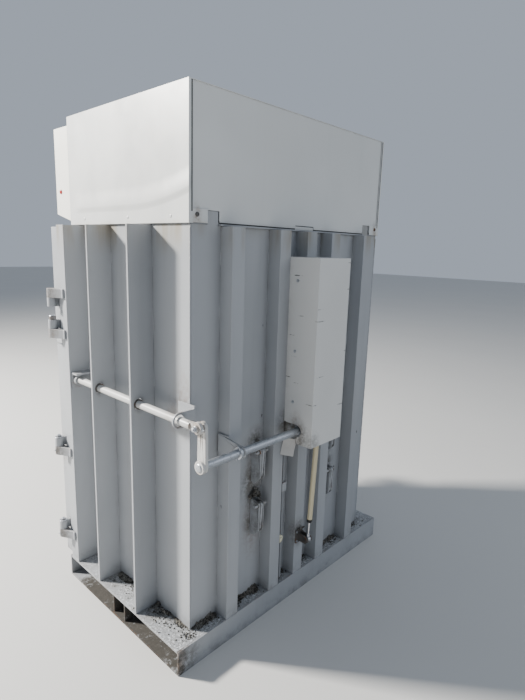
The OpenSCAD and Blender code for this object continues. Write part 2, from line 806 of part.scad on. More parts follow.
module push_rod() {
    xe = rod_x;
    color("gainsboro") {
        rod_y_at(y_post + 38, shaft_y - 34, rod_x, rod_z, rod_d / 2);
        slab_x(xe - 6, xe + 6) difference() {
            union() {
                translate([shaft_y, rod_z]) circle(21);
                translate([shaft_y - 40, rod_z - rod_d / 2]) square([40, rod_d]);
            }
            translate([shaft_y, rod_z + 0.3]) circle(8.4);
            translate([shaft_y, rod_z - 5.2]) circle(8.4);
            translate([shaft_y - 8.4, rod_z - 5.2]) square([16.8, 5.5]);
        }
    }
}

// Wedge at the outer channel and the inner bearing plate on the wall
module shaft_bracket() {
    x = rib_out + rib_w / 2;
    r = shaft_d / 2;
    color(paint) for (p = [[x, 8, y_rear - 52, 38], [lift_x + lift_t / 2 + 12, 8, y_wall, 30]])
        slab_x(p[0], p[0] + p[1]) difference() {
            union() {
                translate([shaft_y, shaft_z]) circle(r + 9);
                polygon([[p[2], shaft_z - p[3]], [shaft_y, shaft_z - r - 9],
                    [shaft_y, shaft_z + r + 9], [p[2], shaft_z + p[3]]]);
            }
            translate([shaft_y, shaft_z]) circle(r + run);
        }
}

// Cross shaft with the finger that swings the catch pawl
module ejector_shaft() {
    color("silver") {
        rod_x_at(pawl_x - 10, rod_x - 26, shaft_y, shaft_z, shaft_d / 2);
        rod_x_at(rib_out + rib_w / 2 + 9, rib_out + rib_w / 2 + 21,
            shaft_y, shaft_z, shaft_d / 2 + 7);
        slab_x(pawl_x - 6, pawl_x + 6) {
            translate([shaft_y, shaft_z]) circle(shaft_d / 2 + 9);
            polygon([[shaft_y - 16, shaft_z], [shaft_y + 16, shaft_z],
                [shaft_y + 8, pawl_z - 87], [pawl_y + 7, pawl_z - 87],
                [pawl_y + 7, pawl_z - 103], [shaft_y - 22, pawl_z - 103]]);
        }
    }
}

module crank() {
    x = rod_x - 26;
    color("whitesmoke") {
        slab_x(x, x + 12)
            link_2d([shaft_y, shaft_z], [shaft_y, rod_z], 22, 19);
        rod_x_at(x + 12, x + 22, shaft_y, shaft_z, 23);
        rod_x_at(x + 12, rod_x + 12, shaft_y, rod_z, 8);
        rod_x_at(rod_x + 7, rod_x + 13, shaft_y, rod_z, 13);
    }
}

// Sheet cover round the slide, open below and notched for the shaft and the channel
module cover() {
    x1 = cover_left;
    x0 = x1 - cover_w;
    y1 = y_rear + cover_out;
    z0 = cover_top - cover_h;
    color("whitesmoke") {
        difference() {
            block([x0, y_wall, z0], [x1, y1, cover_top]);
            block([x0 + cover_t, y_wall - 1, z0 - 1],
                [x1 - cover_t, y1 - cover_t, cover_top - cover_t]);
            block([-rib_w / 2 - 1, y_wall - 1, cover_top - 20],
                [rib_w / 2 + 1, y_rear + 1, cover_top + 1]);
            block([x1 - cover_t - 1, y_wall - 1, z0 - 1], [x1 + 1, shaft_y - 5, shaft_z + 26]);
            rod_x_at(x1 - cover_t - 1, x1 + 1, shaft_y - 4, shaft_z, 26);
        }
        block([x0 - 18, y_wall, z0 + 120], [x0, y_wall + cover_t, cover_top - 120]);
    }
}

// Keepers that hold the lifting bar against the rear wall
module lift_guides() {
    w = lift_t / 2 + gap;
    color(paint) for (z = [base_h + 420, base_h + 760]) {
        for (s = [0, 1]) translate([lift_x, 0, 0]) mirror([s, 0, 0])
            block([w, y_wall, z], [w + 7, y_wall + 39, z + 40]);
        block([lift_x - w - 7, y_wall + 39, z], [lift_x + w + 7, y_wall + 44, z + 40]);
    }
    color(steel) rod_y_at(y_wall, y_wall + 39, disc_x, disc_z, 6);
}

// Nylon disc on its stud, over the edge of the lifting bar
module guide_disc() {
    color("ivory") {
        rod_y_at(y_wall + 39, y_wall + 49, disc_x, disc_z, 17);
        rod_y_at(y_wall + 49, y_wall + 54, disc_x, disc_z, 9);
    }
}

// Lifting bar with its toe, the arm of the gas spring and the pawl pin
module lift_slide() {
    y0 = y_wall + 3;
    y1 = y_wall + 38;
    ye = y_rear + gas_y1;
    color("lightslategray") {
        slab_x(lift_x - lift_t / 2, lift_x + lift_t / 2) polygon([
            [y_in - 140, toe_z], [y1, toe_z], [y1, gas_z1 - 60], [y1 + 30, gas_z1 - 22],
            [ye + 22, gas_z1 - 22], [ye + 22, gas_z1 + 26], [y0, gas_z1 + 26],
            [y0, toe_z + toe_t + 40], [y_in - 10, toe_z + toe_t], [y_in - 140, toe_z + toe_t]]);
        block([-16, ye - 22, gas_z1 + 18], [lift_x - lift_t / 2, ye + 22, gas_z1 + 26]);
        for (s = [0, 1]) mirror([s, 0, 0]) difference() {
            block([10, ye - 18, gas_z1 - 18], [16, ye + 18, gas_z1 + 18]);
            rod_x_at(9, 17, ye, gas_z1, 6.6);
        }
        rod_x_at(pawl_x - 10, lift_x - lift_t / 2, pawl_y, pawl_z, 8);
        rod_x_at(pawl_x - 10, pawl_x - 7, pawl_y, pawl_z, 12);
    }
}

// Catch pawl with its nose towards the chamber
module catch_pawl() {
    color("gray") difference() {
        union() {
            rod_x_at(pawl_x - 6, pawl_x + 6, pawl_y, pawl_z, 15);
            slab_x(pawl_x - 6, pawl_x + 6) polygon([
                [pawl_y + 6, pawl_z - 3], [pawl_y + 6, pawl_z - 112],
                [pawl_y - 16, pawl_z - 104], [pawl_y - 16, pawl_z - 92],
                [pawl_y - 8, pawl_z - 82], [pawl_y - 11, pawl_z - 3]]);
        }
        rod_x_at(pawl_x - 7, pawl_x + 7, pawl_y, pawl_z, 8 + run);
    }
}

// Lugs and pin for the lower eye of the gas spring
module gas_bracket() {
    y = y_rear + gas_y0;
    color("dimgray") {
        block([-rib_w / 2 + 4, y_rear, gas_z0 - 32], [rib_w / 2 - 4, y_rear + 6, gas_z0 + 30]);
        for (s = [0, 1]) mirror([s, 0, 0]) slab_x(9, 15) difference() {
            union() {
                translate([y, gas_z0]) circle(13);
                translate([y_rear + 3, gas_z0 - 20]) square([gas_y0 - 3, 36]);
            }
        }
        rod_x_at(-18, 18, y, gas_z0, 5);
    }
}

module on_gas_axis() {
    translate([0, y_rear + gas_y0, gas_z0]) rotate([-gas_tilt, 0, 0]) children();
}

module gas_rod() {
    color("silver") on_gas_axis() {
        difference() {
            rod_x_at(-8, 8, 0, 0, 12.5);
            rod_x_at(-9, 9, 0, 0, 5 + run);
        }
        rod_z_at(12, gas_len - 60, 0, 0, gas_rod_d / 2);
        rod_z_at(gas_len - 60, gas_len - 42, 0, 0, gas_d / 2 - 2 - piston_gap);
    }
}

module gas_tube() {
    r = gas_d / 2;
    color("cornsilk") on_gas_axis() {
        difference() {
            rod_z_at(88, gas_len - 28, 0, 0, r);
            rod_z_at(112, gas_len - 34, 0, 0, r - 2);
            rod_z_at(87, 113, 0, 0, gas_rod_d / 2 + run);
        }
        rod_z_at(gas_len - 28, gas_len - 8, 0, 0, 6);
        rod_x_at(-8, 8, 0, gas_len, 12.5);
        rod_x_at(-17, 17, 0, gas_len, 5);
    }
}

module flap_hinge() {
    color(dark) {
        for (x = [-420, -140, 140, 420]) difference() {
            block([x - 20, flap_y - 14, base_h], [x + 20, flap_y + 14, flap_z + 6]);
        }
        rod_x_at(-flap_w / 2 + 10, flap_w / 2 - 10, flap_y, flap_z, 8);
    }
}

// Floor flap: plate on upturned channels, with the lifting shoe at its rear edge
module ejector_flap() {
    x1 = flap_w / 2;
    y1 = y_in - 15;
    color("gray") difference() {
        union() {
            block([-x1, flap_y + 16, flap_top - 6], [x1, y1, flap_top]);
            for (x = [-340, -90, 190, 340]) translate([x, 0, 0])
                slab_y(flap_y + 22, y1 - 40) translate([-45, base_h + 6]) difference() {
                    square([90, flap_top - base_h - 12]);
                    translate([6, 6]) square([78, flap_top - base_h]);
                }
            for (x = [-350, -70, 70, 350]) {
                slab_x(x - 22, x + 22) {
                    translate([flap_y, flap_z]) circle(14);
                    polygon([[flap_y - 2, flap_z + 8], [flap_y + 12, flap_z - 4],
                        [flap_y + 40, flap_top - 6], [flap_y + 16, flap_top]]);
                }
            }
            slab_x(lift_x - 6, lift_x + 6) {
                translate([shoe_y, toe_z + toe_t + shoe_r + gap]) circle(shoe_r);
                translate([shoe_y - shoe_r, toe_z + toe_t + shoe_r + gap])
                    square([2 * shoe_r, flap_top - 3 - toe_z - toe_t - shoe_r]);
            }
        }
        rod_x_at(-x1 - 1, x1 + 1, flap_y, flap_z, 8 + run);
        for (x = grooves) for (k = [0, 1]) if (abs(x) > 1)
            block([x - 9, flap_y + 60 + 300 * k, flap_top - 7],
                [x + 9, flap_y + 300 + 300 * k, flap_top + 1]);
    }
}

// Lugs and pivot pin of each claw
module claw_brackets() {
    y = y_wall + claw_off;
    w = claw_t / 2 + 4;
    color(dark) for (x = [-groove_in, groove_in]) for (z = [claw_hi, claw_lo])
        translate([x, 0, 0]) {
            for (s = [0, 1]) mirror([s, 0, 0]) slab_x(w, w + 5) polygon([
                [y_wall, z - 138], [y_wall + 22, z - 138], [y + 8, z - 110],
                [y + 10, z - 6], [y + 8, z + 12], [y_wall, z + 18]]);
            rod_x_at(-33, 33, y, z, 6);
        }
}

// One retaining claw: hub on the pin, sloping back and flat holding edge
module claw(x, z) {
    y = y_wall + claw_off;
    color("dimgray") slab_x(x - claw_t / 2, x + claw_t / 2) difference() {
        union() {
            translate([y, z]) circle(13);
            polygon([[y + 12, z], [y - 12, z + 4], [y_wall - 4, z - 32], [y_in - 30, z - 96],
                [y_in - 30, z - 102], [y_wall - 4, z - 106], [y_wall + 10, z - 116],
                [y + 6, z - 104]]);
        }
        translate([y, z]) circle(6 + run);
    }
}
module claw_one() { claw(groove_in, claw_hi); }
module claw_two() { claw(groove_in, claw_lo); }
module claw_three() { claw(-groove_in, claw_hi); }
module claw_four() { claw(-groove_in, claw_lo); }

cab_z0 = box_z + box_slope + 6;
cab_y = box_y0 - gap;
button_y = cab_y - 3;

module cabinet_door() {
    color(paint) {
        difference() {
            block([box_x0 + 4, cab_y - 3, cab_z0], [box_x1 - 4, cab_y, box_top - 4]);
            rod_y_at(cab_y - 4, cab_y + 1, box_x0 + 110, box_z + 130, 10.4);
            rod_y_at(cab_y - 4, cab_y + 1, box_x0 + 200, box_z + 130, 10.4);
            rod_y_at(cab_y - 4, cab_y + 1, box_x0 + 290, box_z + 130, 10.4);
            rod_y_at(cab_y - 4, cab_y + 1, box_x0 + 200, box_z + 270, 10.4);
        }
        for (z = [box_z + 80, box_top - 60])
            rod_z_at(z, z + 40, box_x0 + 4, cab_y - 5, 5);
    }
    color("dimgray") rod_y_at(cab_y - 8, cab_y - 3, box_x1 - 24, box_z + 200, 10);
}

// Round operator on the cabinet door: head in front, shank through the panel
module button_at(dx, dz, head_d, head_h, c) {
    color(c) {
        rod_y_at(button_y - 8 - head_h, button_y - 8, box_x0 + dx, box_z + dz, head_d / 2);
        rod_y_at(button_y - 8, cab_y + 22, box_x0 + dx, box_z + dz, 10);
    }
}
module start_button() { button_at(110, 130, 27, 5, "green"); }
module stop_button() { button_at(200, 130, 27, 7, "red"); }
module emergency_stop() {
    button_at(290, 130, stop_d, 14, "red");
}
module main_switch() {
    button_at(200, 270, 46, 8, "black");
    color("red") block([box_x0 + 196, button_y - 34, box_z + 250],
        [box_x0 + 204, button_y - 16, box_z + 290]);
}

base_frame();
base_plate();
wall_rear();
ribs_rear();
wall_hinge_side();
fins_hinge_side();
post_hinge_side();
wall_lock_side();
fins_lock_side();
post_lock_side();
header_beam();
roof_plate();
crossbeams();
hood();
fasteners();
control_box();
oil_tank();
motor();
valve_block();
oil_pipes();
cylinder_barrel();
door_hinges();
lock_keeper();
latch_keeper();
rod_guides();
shaft_bracket();
cover();
lift_guides();
guide_disc();
gas_bracket();
flap_hinge();
claw_brackets();
stage_one();
stage_two();
plunger();
platen();
platen_shoes();
bale_door();
lower_grip();
handwheel();
loading_door();
upper_grip();
door_latch();
push_rod();
ejector_shaft();
crank();
lift_slide();
catch_pawl();
gas_rod();
gas_tube();
ejector_flap();
claw_one();
claw_two();
claw_three();
claw_four();
cabinet_door();
emergency_stop();
start_button();
stop_button();
main_switch();
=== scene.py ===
"""Finishes and fine parts of an upright recycling baler, laid over its solid model."""

import json
import math
import random

import bmesh
import bpy
from bpy.props import FloatProperty, FloatVectorProperty, IntProperty, PointerProperty
from mathutils import Matrix, Vector, noise
from mathutils.bvhtree import BVHTree


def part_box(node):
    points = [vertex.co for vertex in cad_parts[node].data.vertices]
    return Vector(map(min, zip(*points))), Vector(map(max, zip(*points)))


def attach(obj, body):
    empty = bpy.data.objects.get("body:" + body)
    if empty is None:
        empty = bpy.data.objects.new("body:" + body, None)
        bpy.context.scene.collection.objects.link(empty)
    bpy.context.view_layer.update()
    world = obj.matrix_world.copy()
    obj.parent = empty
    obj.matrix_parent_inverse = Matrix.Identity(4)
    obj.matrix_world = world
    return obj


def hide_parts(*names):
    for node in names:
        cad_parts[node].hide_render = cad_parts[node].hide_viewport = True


bl_info = {
    "name": "Recycling baler dressing",
    "version": (1, 0, 0),
    "blender": (4, 5, 0),
    "location": "View3D > Sidebar > Baler",
    "description": "Paint, weld beads, screws, operators and yard dirt for an upright baler",
    "category": "Object",
}

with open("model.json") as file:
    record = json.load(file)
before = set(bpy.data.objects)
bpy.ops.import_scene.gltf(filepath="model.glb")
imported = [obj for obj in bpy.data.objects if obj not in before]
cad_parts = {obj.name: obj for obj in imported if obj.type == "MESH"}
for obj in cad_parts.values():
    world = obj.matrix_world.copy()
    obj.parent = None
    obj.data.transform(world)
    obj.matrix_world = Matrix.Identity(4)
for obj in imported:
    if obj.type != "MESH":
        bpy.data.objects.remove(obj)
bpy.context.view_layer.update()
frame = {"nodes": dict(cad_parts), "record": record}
BODY_OF = {n: b for b, ns in frame["record"]["behaviour"]["bodies"].items() for n in ns}

X, Y, Z = Vector((1, 0, 0)), Vector((0, 1, 0)), Vector((0, 0, 1))

# Places on the machine in metres: X towards the hinge side, Y towards the rear, Z up
HOOD_SHEET = 0.002
RIBS_X = (-0.403, -0.16, 0.0, 0.16, 0.403)
FINS_Y = (-0.145, 0.133)
SIDE_X = 0.565
REAR_Y = 0.352
CHAMBER_HALF = 0.5608
POST_INSIDE_Y, WALL_INSIDE_Y, DOOR_INSIDE_Y = 0.330, 0.3458, -0.3915
SHAFT_Y, SHAFT_Z = 0.475, 0.82
ROD_X, ROD_Z = 0.632, 0.958
CLAW_X = 0.24
CLAW_PINS_Z = (0.742, 0.512)
HINGE_X, HINGE_Y = 0.685, -0.42
LOCK_X, WHEEL_Z, LATCH_Z = -0.56, 0.61, 1.22
DOOR_FRONT_Y, CABINET_FRONT_Y = -0.4565, -0.5635
BOX_FOOT_Z = 1.619


class BalerColours(bpy.types.PropertyGroup):
    body: FloatVectorProperty(name="Body paint", description="Light grey of the chamber and its ribs",
                              subtype="COLOR", min=0, max=1, default=(0.365, 0.38, 0.40))
    hood: FloatVectorProperty(name="Hood paint",
                              description="Slightly fresher grey of the hood and the control box",
                              subtype="COLOR", min=0, max=1, default=(0.66, 0.67, 0.66))
    cover: FloatVectorProperty(name="Cover paint", description="Warmer grey of the rear linkage cover",
                               subtype="COLOR", min=0, max=1, default=(0.66, 0.66, 0.645))
    rust: FloatVectorProperty(name="Rust", description="Rust on bare edges and fittings",
                              subtype="COLOR", min=0, max=1, default=(0.13, 0.055, 0.022))
    dirt: FloatVectorProperty(name="Yard dirt",
                              description="Dry soil and dust that has settled on the machine",
                              subtype="COLOR", min=0, max=1, default=(0.105, 0.096, 0.083))
    zinc: FloatVectorProperty(name="Galvanising", description="Zinc coat of the cross shaft and the screws",
                              subtype="COLOR", min=0, max=1, default=(0.42, 0.44, 0.47))
    cream: FloatVectorProperty(name="Gas spring tube", description="Cream paint of the gas spring",
                               subtype="COLOR", min=0, max=1, default=(0.60, 0.53, 0.35))
    floor: FloatVectorProperty(name="Studio floor", description="Pale floor under the machine",
                               subtype="COLOR", min=0, max=1, default=(0.58, 0.575, 0.56))


class BalerSizes(bpy.types.PropertyGroup):
    edge: FloatProperty(name="Edge radius",
                        description="Rounding of the cut and folded edges of the steelwork",
                        subtype="DISTANCE", unit="LENGTH", min=0.0, max=0.004, default=0.0012)
    bead: FloatProperty(name="Weld bead", description="Leg of a fillet weld",
                        subtype="DISTANCE", unit="LENGTH", min=0.002, max=0.008, default=0.004)
    stitch: FloatProperty(name="Weld stitch", description="Length of one weld stitch along a rib",
                          subtype="DISTANCE", unit="LENGTH", min=0.02, max=0.1, default=0.045)
    pitch: FloatProperty(name="Stitch pitch", description="Distance from one weld stitch to the next",
                         subtype="DISTANCE", unit="LENGTH", min=0.1, max=0.4, default=0.185)
    litter: IntProperty(name="Litter",
                        description="How many crumbs and twigs lie along the foot of the walls", min=0,
                        max=4000, default=1800)
    lens: FloatProperty(name="Lens", description="Focal length of the camera", min=15, max=80,
                        default=25.75)


# Finishes


class Finish:
    """One material and the nodes that make it."""

    made = {}

    def __init__(self, name):
        self.material = bpy.data.materials.new(name)
        self.material.use_nodes = True
        self.tree = self.material.node_tree
        self.shader = self.tree.nodes["Principled BSDF"]
        self.place = self.tree.nodes.new("ShaderNodeTexCoord").outputs["Object"]
        Finish.made[name] = self.material

    def put(self, socket, value):
        """Links a socket to another one, or sets it to a number or a colour."""
        if isinstance(value, bpy.types.NodeSocket):
            self.tree.links.new(value, socket)
        elif socket.type == "RGBA" and len(value) == 3:
            socket.default_value = (*value, 1.0)
        else:
            socket.default_value = value

    def add(self, kind, inputs, out=0, **settings):
        """A new node with its inputs and settings. Returns one of its outputs."""
        node = self.tree.nodes.new(kind)
        for key, value in settings.items():
            setattr(node, key, value)
        for key, value in inputs.items():
            self.put(node.inputs[key], value)
        return node.outputs[out]

    def stretched(self, scale, offset=(0, 0, 0)):
        """The place on the machine, scaled and shifted."""
        return self.add("ShaderNodeMapping", {"Vector": self.place, "Scale": scale, "Location": offset})

    def noise(self, scale, detail=4.0, rough=0.55, stretch=None, seed=0.0):
        """Soft noise. A small number in the stretch draws it out along that axis."""
        where = self.stretched(stretch or (1, 1, 1), (seed, seed * 0.7, seed * 1.3))
        return self.add("ShaderNodeTexNoise",
                        {"Vector": where, "Scale": scale, "Detail": detail, "Roughness": rough})

    def cells(self, scale, out="Color", **settings):
        """Cells with a random colour each, or the distance to their middles."""
        return self.add("ShaderNodeTexVoronoi", {"Vector": self.place, "Scale": scale}, out=out, **settings)

    def fade(self, value, low, high, to_low=0.0, to_high=1.0):
        """A soft step of the value from low to high."""
        return self.add("ShaderNodeMapRange", {"Value": value, "From Min": low, "From Max": high,
                                               "To Min": to_low, "To Max": to_high},
                        interpolation_type="SMOOTHSTEP")

    def math(self, operation, a, b=0.0):
        """One sum on two values, each a socket or a number."""
        return self.add("ShaderNodeMath", {0: a, 1: b}, operation=operation)

    def both(self, *masks):
        """The product of the masks."""
        value = masks[0]
        for mask in masks[1:]:
            value = self.math("MULTIPLY", value, mask)
        return value

    def either(self, *masks):
        """The strongest of the masks."""
        value = masks[0]
        for mask in masks[1:]:
            value = self.math("MAXIMUM", value, mask)
        return value

    def mix(self, amount, a, b):
        """Colour a where the amount is 0, colour b where it is 1."""
        node = self.tree.nodes.new("ShaderNodeMix")
        node.data_type = "RGBA"
        self.put(node.inputs[0], amount)
        self.put(node.inputs[6], a)
        self.put(node.inputs[7], b)
        return node.outputs[2]

    def part_of(self, vector, axis):
        """The X, Y or Z part of a vector, for axis 0, 1 or 2."""
        split = self.tree.nodes.new("ShaderNodeSeparateXYZ")
        self.put(split.inputs[0], vector)
        return split.outputs[axis]

    def height(self):
        """Metres above the ground."""
        return self.part_of(self.place, 2)

    def level(self):
        """1 on faces that look up, 0 on upright ones."""
        facing = self.tree.nodes.new("ShaderNodeTexCoord").outputs["Normal"]
        return self.fade(self.part_of(facing, 2), 0.55, 0.92)

    def marks(self, scale, radius, share, seed=0.0, stretch=(1, 1, 1)):
        """Scattered ragged marks: a share of the cells holds one, of about the radius in metres."""
        cell = self.tree.nodes.new("ShaderNodeTexVoronoi")
        self.put(cell.inputs["Vector"], self.stretched(stretch, (seed, seed * 1.7, seed * 0.6)))
        self.put(cell.inputs["Scale"], scale)
        reach = self.fade(self.noise(scale * 9, 4, 0.75, seed=seed + 4), 0.35, 0.65, 0.25 * radius * scale,
                          1.5 * radius * scale)
        inside = self.fade(cell.outputs["Distance"], reach, self.both(reach, 0.7))
        split = self.tree.nodes.new("ShaderNodeSeparateColor")
        self.put(split.inputs[0], cell.outputs["Color"])
        return self.both(inside, self.math("LESS_THAN", split.outputs[0], share))

    def near(self, point, reach, stretch=(1, 1, 1)):
        """1 at a point of the object, falling to 0 at the reach."""
        where = self.add("ShaderNodeVectorMath", {0: self.place, 1: tuple(-c for c in point)},
                         operation="ADD")
        where = self.add("ShaderNodeVectorMath", {0: where, 1: stretch}, operation="MULTIPLY")
        length = self.add("ShaderNodeVectorMath", {0: where}, out="Value", operation="LENGTH")
        return self.fade(length, reach, reach * 0.15)

    def edges(self, radius=0.003):
        """1 on convex edges, from the difference between the rounded and the true normal."""
        rounded = self.add("ShaderNodeBevel", {"Radius": radius}, samples=4)
        true = self.tree.nodes.new("ShaderNodeNewGeometry").outputs["True Normal"]
        dot = self.add("ShaderNodeVectorMath", {0: rounded, 1: true}, out="Value", operation="DOT_PRODUCT")
        return self.fade(dot, 0.985, 0.80)

    def corners(self, distance=0.05, alone=False):
        """1 deep in corners, 0 on open faces, from ambient occlusion: the mask of the painted shade in
        corners.
        """
        open_sky = self.add("ShaderNodeAmbientOcclusion", {"Distance": distance}, out="AO", samples=4,
                            only_local=alone)
        return self.fade(open_sky, 0.85, 0.35)

    def bump(self, value, strength, distance=0.001, under=None):
        """Relief from a value, on top of another relief if one is given."""
        inputs = {"Height": value, "Strength": strength, "Distance": distance}
        if under is not None:
            inputs["Normal"] = under
        return self.add("ShaderNodeBump", inputs, out="Normal")

    def close(self, colour=None, roughness=None, normal=None, **fixed):
        """Joins the results to the shader. The fixed values go on its own sockets."""
        for key, value in (("Base Color", colour), ("Roughness", roughness), ("Normal", normal)):
            if value is not None:
                self.put(self.shader.inputs[key], value)
        for key, value in fixed.items():
            self.put(self.shader.inputs[key.replace("_", " ")], value)
        return self.material


def shade(colour, factor):
    """A colour made darker or lighter."""
    return tuple(min(1.0, c * factor) for c in colour)


def chamber_wear(f, base, inside):
    """The chamber side of a sheet, rubbed to bare dirty steel by the bales and the press plate."""
    half_width, front, back = inside
    depth = f.part_of(f.place, 1)
    within = f.both(f.math("LESS_THAN", f.math("ABSOLUTE", f.part_of(f.place, 0)), half_width),
                    f.math("GREATER_THAN", depth, front), f.math("LESS_THAN", depth, back))
    rubs = f.fade(f.noise(26, 7, 0.75, (1, 1, 0.09), seed=41), 0.47, 0.60)
    blots = f.fade(f.noise(6, 7, 0.75, seed=42), 0.50, 0.72)
    low_down = f.fade(f.height(), 1.50, 0.30, 0.25, 0.75)
    bare_steel = f.mix(f.noise(60, 5, 0.7, (1, 1, 0.2)), (0.085, 0.080, 0.074), (0.25, 0.245, 0.235))
    return f.mix(f.both(within, low_down, f.either(rubs, blots)), base, bare_steel)


def pressed_line(f, x, level, start, lift):
    """1 along a soft line pressed into the side sheet: level, then rising towards the rear corner."""
    along = f.math("MAXIMUM", f.math("SUBTRACT", f.part_of(f.place, 1), start), 0.0)
    curve = f.math("ADD", f.both(f.both(along, along), lift), level)
    off = f.math("SUBTRACT", f.height(), curve)
    return f.both(f.fade(off, -0.013, 0.013), f.fade(off, 0.075, 0.013),
                  f.fade(f.part_of(f.place, 0), x - 0.01, x),
                  f.fade(f.part_of(f.place, 1), -0.42, -0.34))


def painted(name, colour, dirt, rust, dust=0.25, chips=0.3, streaks=0.2, foot=None, spots=(), smears=(),
            alone=False, gloss=0.40, dent=None, nicks=0.35, stain_and_shade=None, speckle=0.0, settled=0.5,
            scratches=0.0, inside=None):
    """Satin paint on steel: dust, rain streaks, nicks, rust on chipped edges, soil and painted shade in the
    corners.

    Spots of soil, some of them painted shade, and smears of rust are lists of (point, reach, strength). The
    foot is the pair of heights between which the darkening towards the bottom fades out, and its strength.
    The stain_and_shade is the same for warm runs below the hood, which are partly painted shade of the
    hood.
    The dent is what pressed_line takes. Inside is half the width, the front and the back of the chamber.
    """
    f = Finish(name)
    # Clouds, grain and rain streaks of the paint itself
    cloud = f.fade(f.noise(1.6, 3, seed=1), 0.3, 0.7)
    base = f.mix(cloud, shade(colour, 0.94), shade(colour, 1.04))
    grain = f.noise(70, 5, 0.7)
    base = f.mix(f.fade(grain, 0.55, 0.8, 0, 0.08), base, shade(colour, 0.72))
    runs = f.fade(f.noise(9, 5, 0.6, (1, 1, 0.045), seed=3), 0.52, 0.78, 0, streaks)
    base = f.mix(runs, base, tuple(0.55 * c + 0.45 * d for c, d in zip(shade(colour, 0.66), dirt)))
    # Warm darkening over a band of heights: run stains, and painted shade where the band lies under the
    # hood
    if stain_and_shade:
        low, high, strength = stain_and_shade
        drip = f.fade(f.noise(16, 4, 0.6, (1, 1, 0.12), seed=8), 0.35, 0.72)
        warm = f.both(f.both(f.fade(f.height(), low, high), drip), strength)
        base = f.mix(warm, base, tuple(c * w for c, w in zip(colour, (0.72, 0.62, 0.46))))
    # Scuffs and knocks, and rust that has run from fittings
    scuff = f.fade(f.noise(26, 8, 0.78, (1, 1, 0.35), seed=7), 0.67, 0.70, 0, 0.8 * chips)
    base = f.mix(scuff, base, shade(colour, 0.60))
    knocks = f.both(f.marks(7.0, 0.0048, nicks, 2.0, (1, 1, 0.6)),
                    f.fade(f.noise(3, 2, seed=6), 0.40, 0.48))
    if inside:
        base = chamber_wear(f, base, inside)
    if scratches:
        knocks = f.either(knocks, f.marks(5.5, 0.026, scratches, 31.0, (1, 1, 13)))
    base = f.mix(knocks, base, f.mix(f.noise(200, 2), shade(dirt, 0.5), shade(colour, 0.4)))
    for point, reach, strength in smears:
        smear = f.both(f.near(point, reach, (1, 1, 0.45)),
                       f.fade(f.noise(46, 7, 0.8, seed=point[2]), 0.34, 0.66))
        tint = f.mix(grain, tuple(c * w for c, w in zip(colour, (0.62, 0.47, 0.32))), shade(rust, 0.9))
        base = f.mix(f.both(smear, strength), base, tint)
    # Soil and painted shade in corners, soil on level faces, darkening towards the bottom,
    # and spots of soil around worn places, some of them painted shade
    # The corner mask is ambient occlusion, so the darkening it gives is painted shade as well as soil
    corner = f.both(f.corners(0.045, alone), f.fade(f.noise(14, 6, 0.7, seed=2), 0.30, 0.62))
    soil = f.both(corner, dust)
    lying = f.both(f.level(), f.fade(f.noise(22, 7, 0.75, seed=12), 0.36, 0.62))
    soil = f.either(soil, f.both(lying, settled))
    # Darker towards the bottom, fading out between the two heights
    if foot:
        low, high, strength = foot
        rise = f.both(f.fade(f.height(), high, low), f.fade(f.noise(11, 7, 0.72, seed=5), 0.40, 0.66))
        soil = f.either(soil, f.both(rise, strength))
    if speckle:
        flecks = f.fade(f.noise(105, 6, 0.8, seed=21), 0.50, 0.56)
        patch = f.fade(f.noise(15, 5, 0.7, seed=22), 0.34, 0.54)
        soil = f.either(soil, f.both(f.both(f.level(), flecks, patch), speckle))
        base = f.mix(f.both(f.level(), f.fade(f.noise(120, 5, 0.75, seed=23), 0.52, 0.57), patch), base,
                     shade(colour, 2.1))
    for point, reach, strength in spots:
        blot = f.both(f.near(point, reach, (1, 1, 0.75)),
                      f.fade(f.noise(38, 8, 0.8, seed=point[0]), 0.36, 0.58))
        soil = f.either(soil, f.both(blot, strength))
    # Soil colour, laid over the soil and the painted shade alike
    base = f.mix(soil, base, f.mix(grain, shade(dirt, 0.45), shade(dirt, 1.5)))
    # Chipped edges, gloss and relief
    worn = f.both(f.edges(), f.fade(f.noise(30, 8, 0.75, seed=4), 0.70 - 0.2 * chips, 0.75 - 0.2 * chips))
    bare = f.mix(f.fade(f.noise(90, 4), 0.35, 0.6), rust, shade(rust, 2.4))
    base = f.mix(worn, base, bare)
    rough = f.math("ADD", f.fade(f.noise(6, 4, seed=9), 0.3, 0.7, gloss - 0.05, gloss + 0.08),
                   f.both(f.either(soil, worn), 0.45))
    normal = f.bump(f.noise(2.6, 2, 0.4, seed=15), 0.25, 0.012)
    normal = f.bump(f.noise(420, 2, 0.5), 0.05, 0.0004, normal)
    if dent:
        normal = f.bump(pressed_line(f, *dent), 0.55, 0.008, normal)
    normal = f.bump(f.either(worn, knocks, f.both(soil, f.noise(160, 4, 0.7))), 0.35, 0.0012, normal)
    return f.close(base, rough, normal)


def galvanised(name, colour, dirt):
    """Hot dip zinc: spangles, dull bloom and grime."""
    f = Finish(name)
    spangle = f.cells(150, "Distance", feature="F1")
    base = f.mix(f.fade(spangle, 0.0, 0.6), shade(colour, 0.85), shade(colour, 1.2))
    base = f.mix(f.fade(f.noise(18, 6, 0.7), 0.55, 0.75, 0, 0.6), base, shade(colour, 1.35))
    grime = f.fade(f.noise(30, 7, 0.75, seed=3), 0.55, 0.70, 0, 0.75)
    base = f.mix(grime, base, shade(dirt, 0.8))
    rough = f.math("ADD", f.fade(spangle, 0, 0.7, 0.30, 0.45), f.both(grime, 0.4))
    return f.close(base, rough, f.bump(f.noise(240, 4), 0.12, 0.0006), Metallic=0.85)


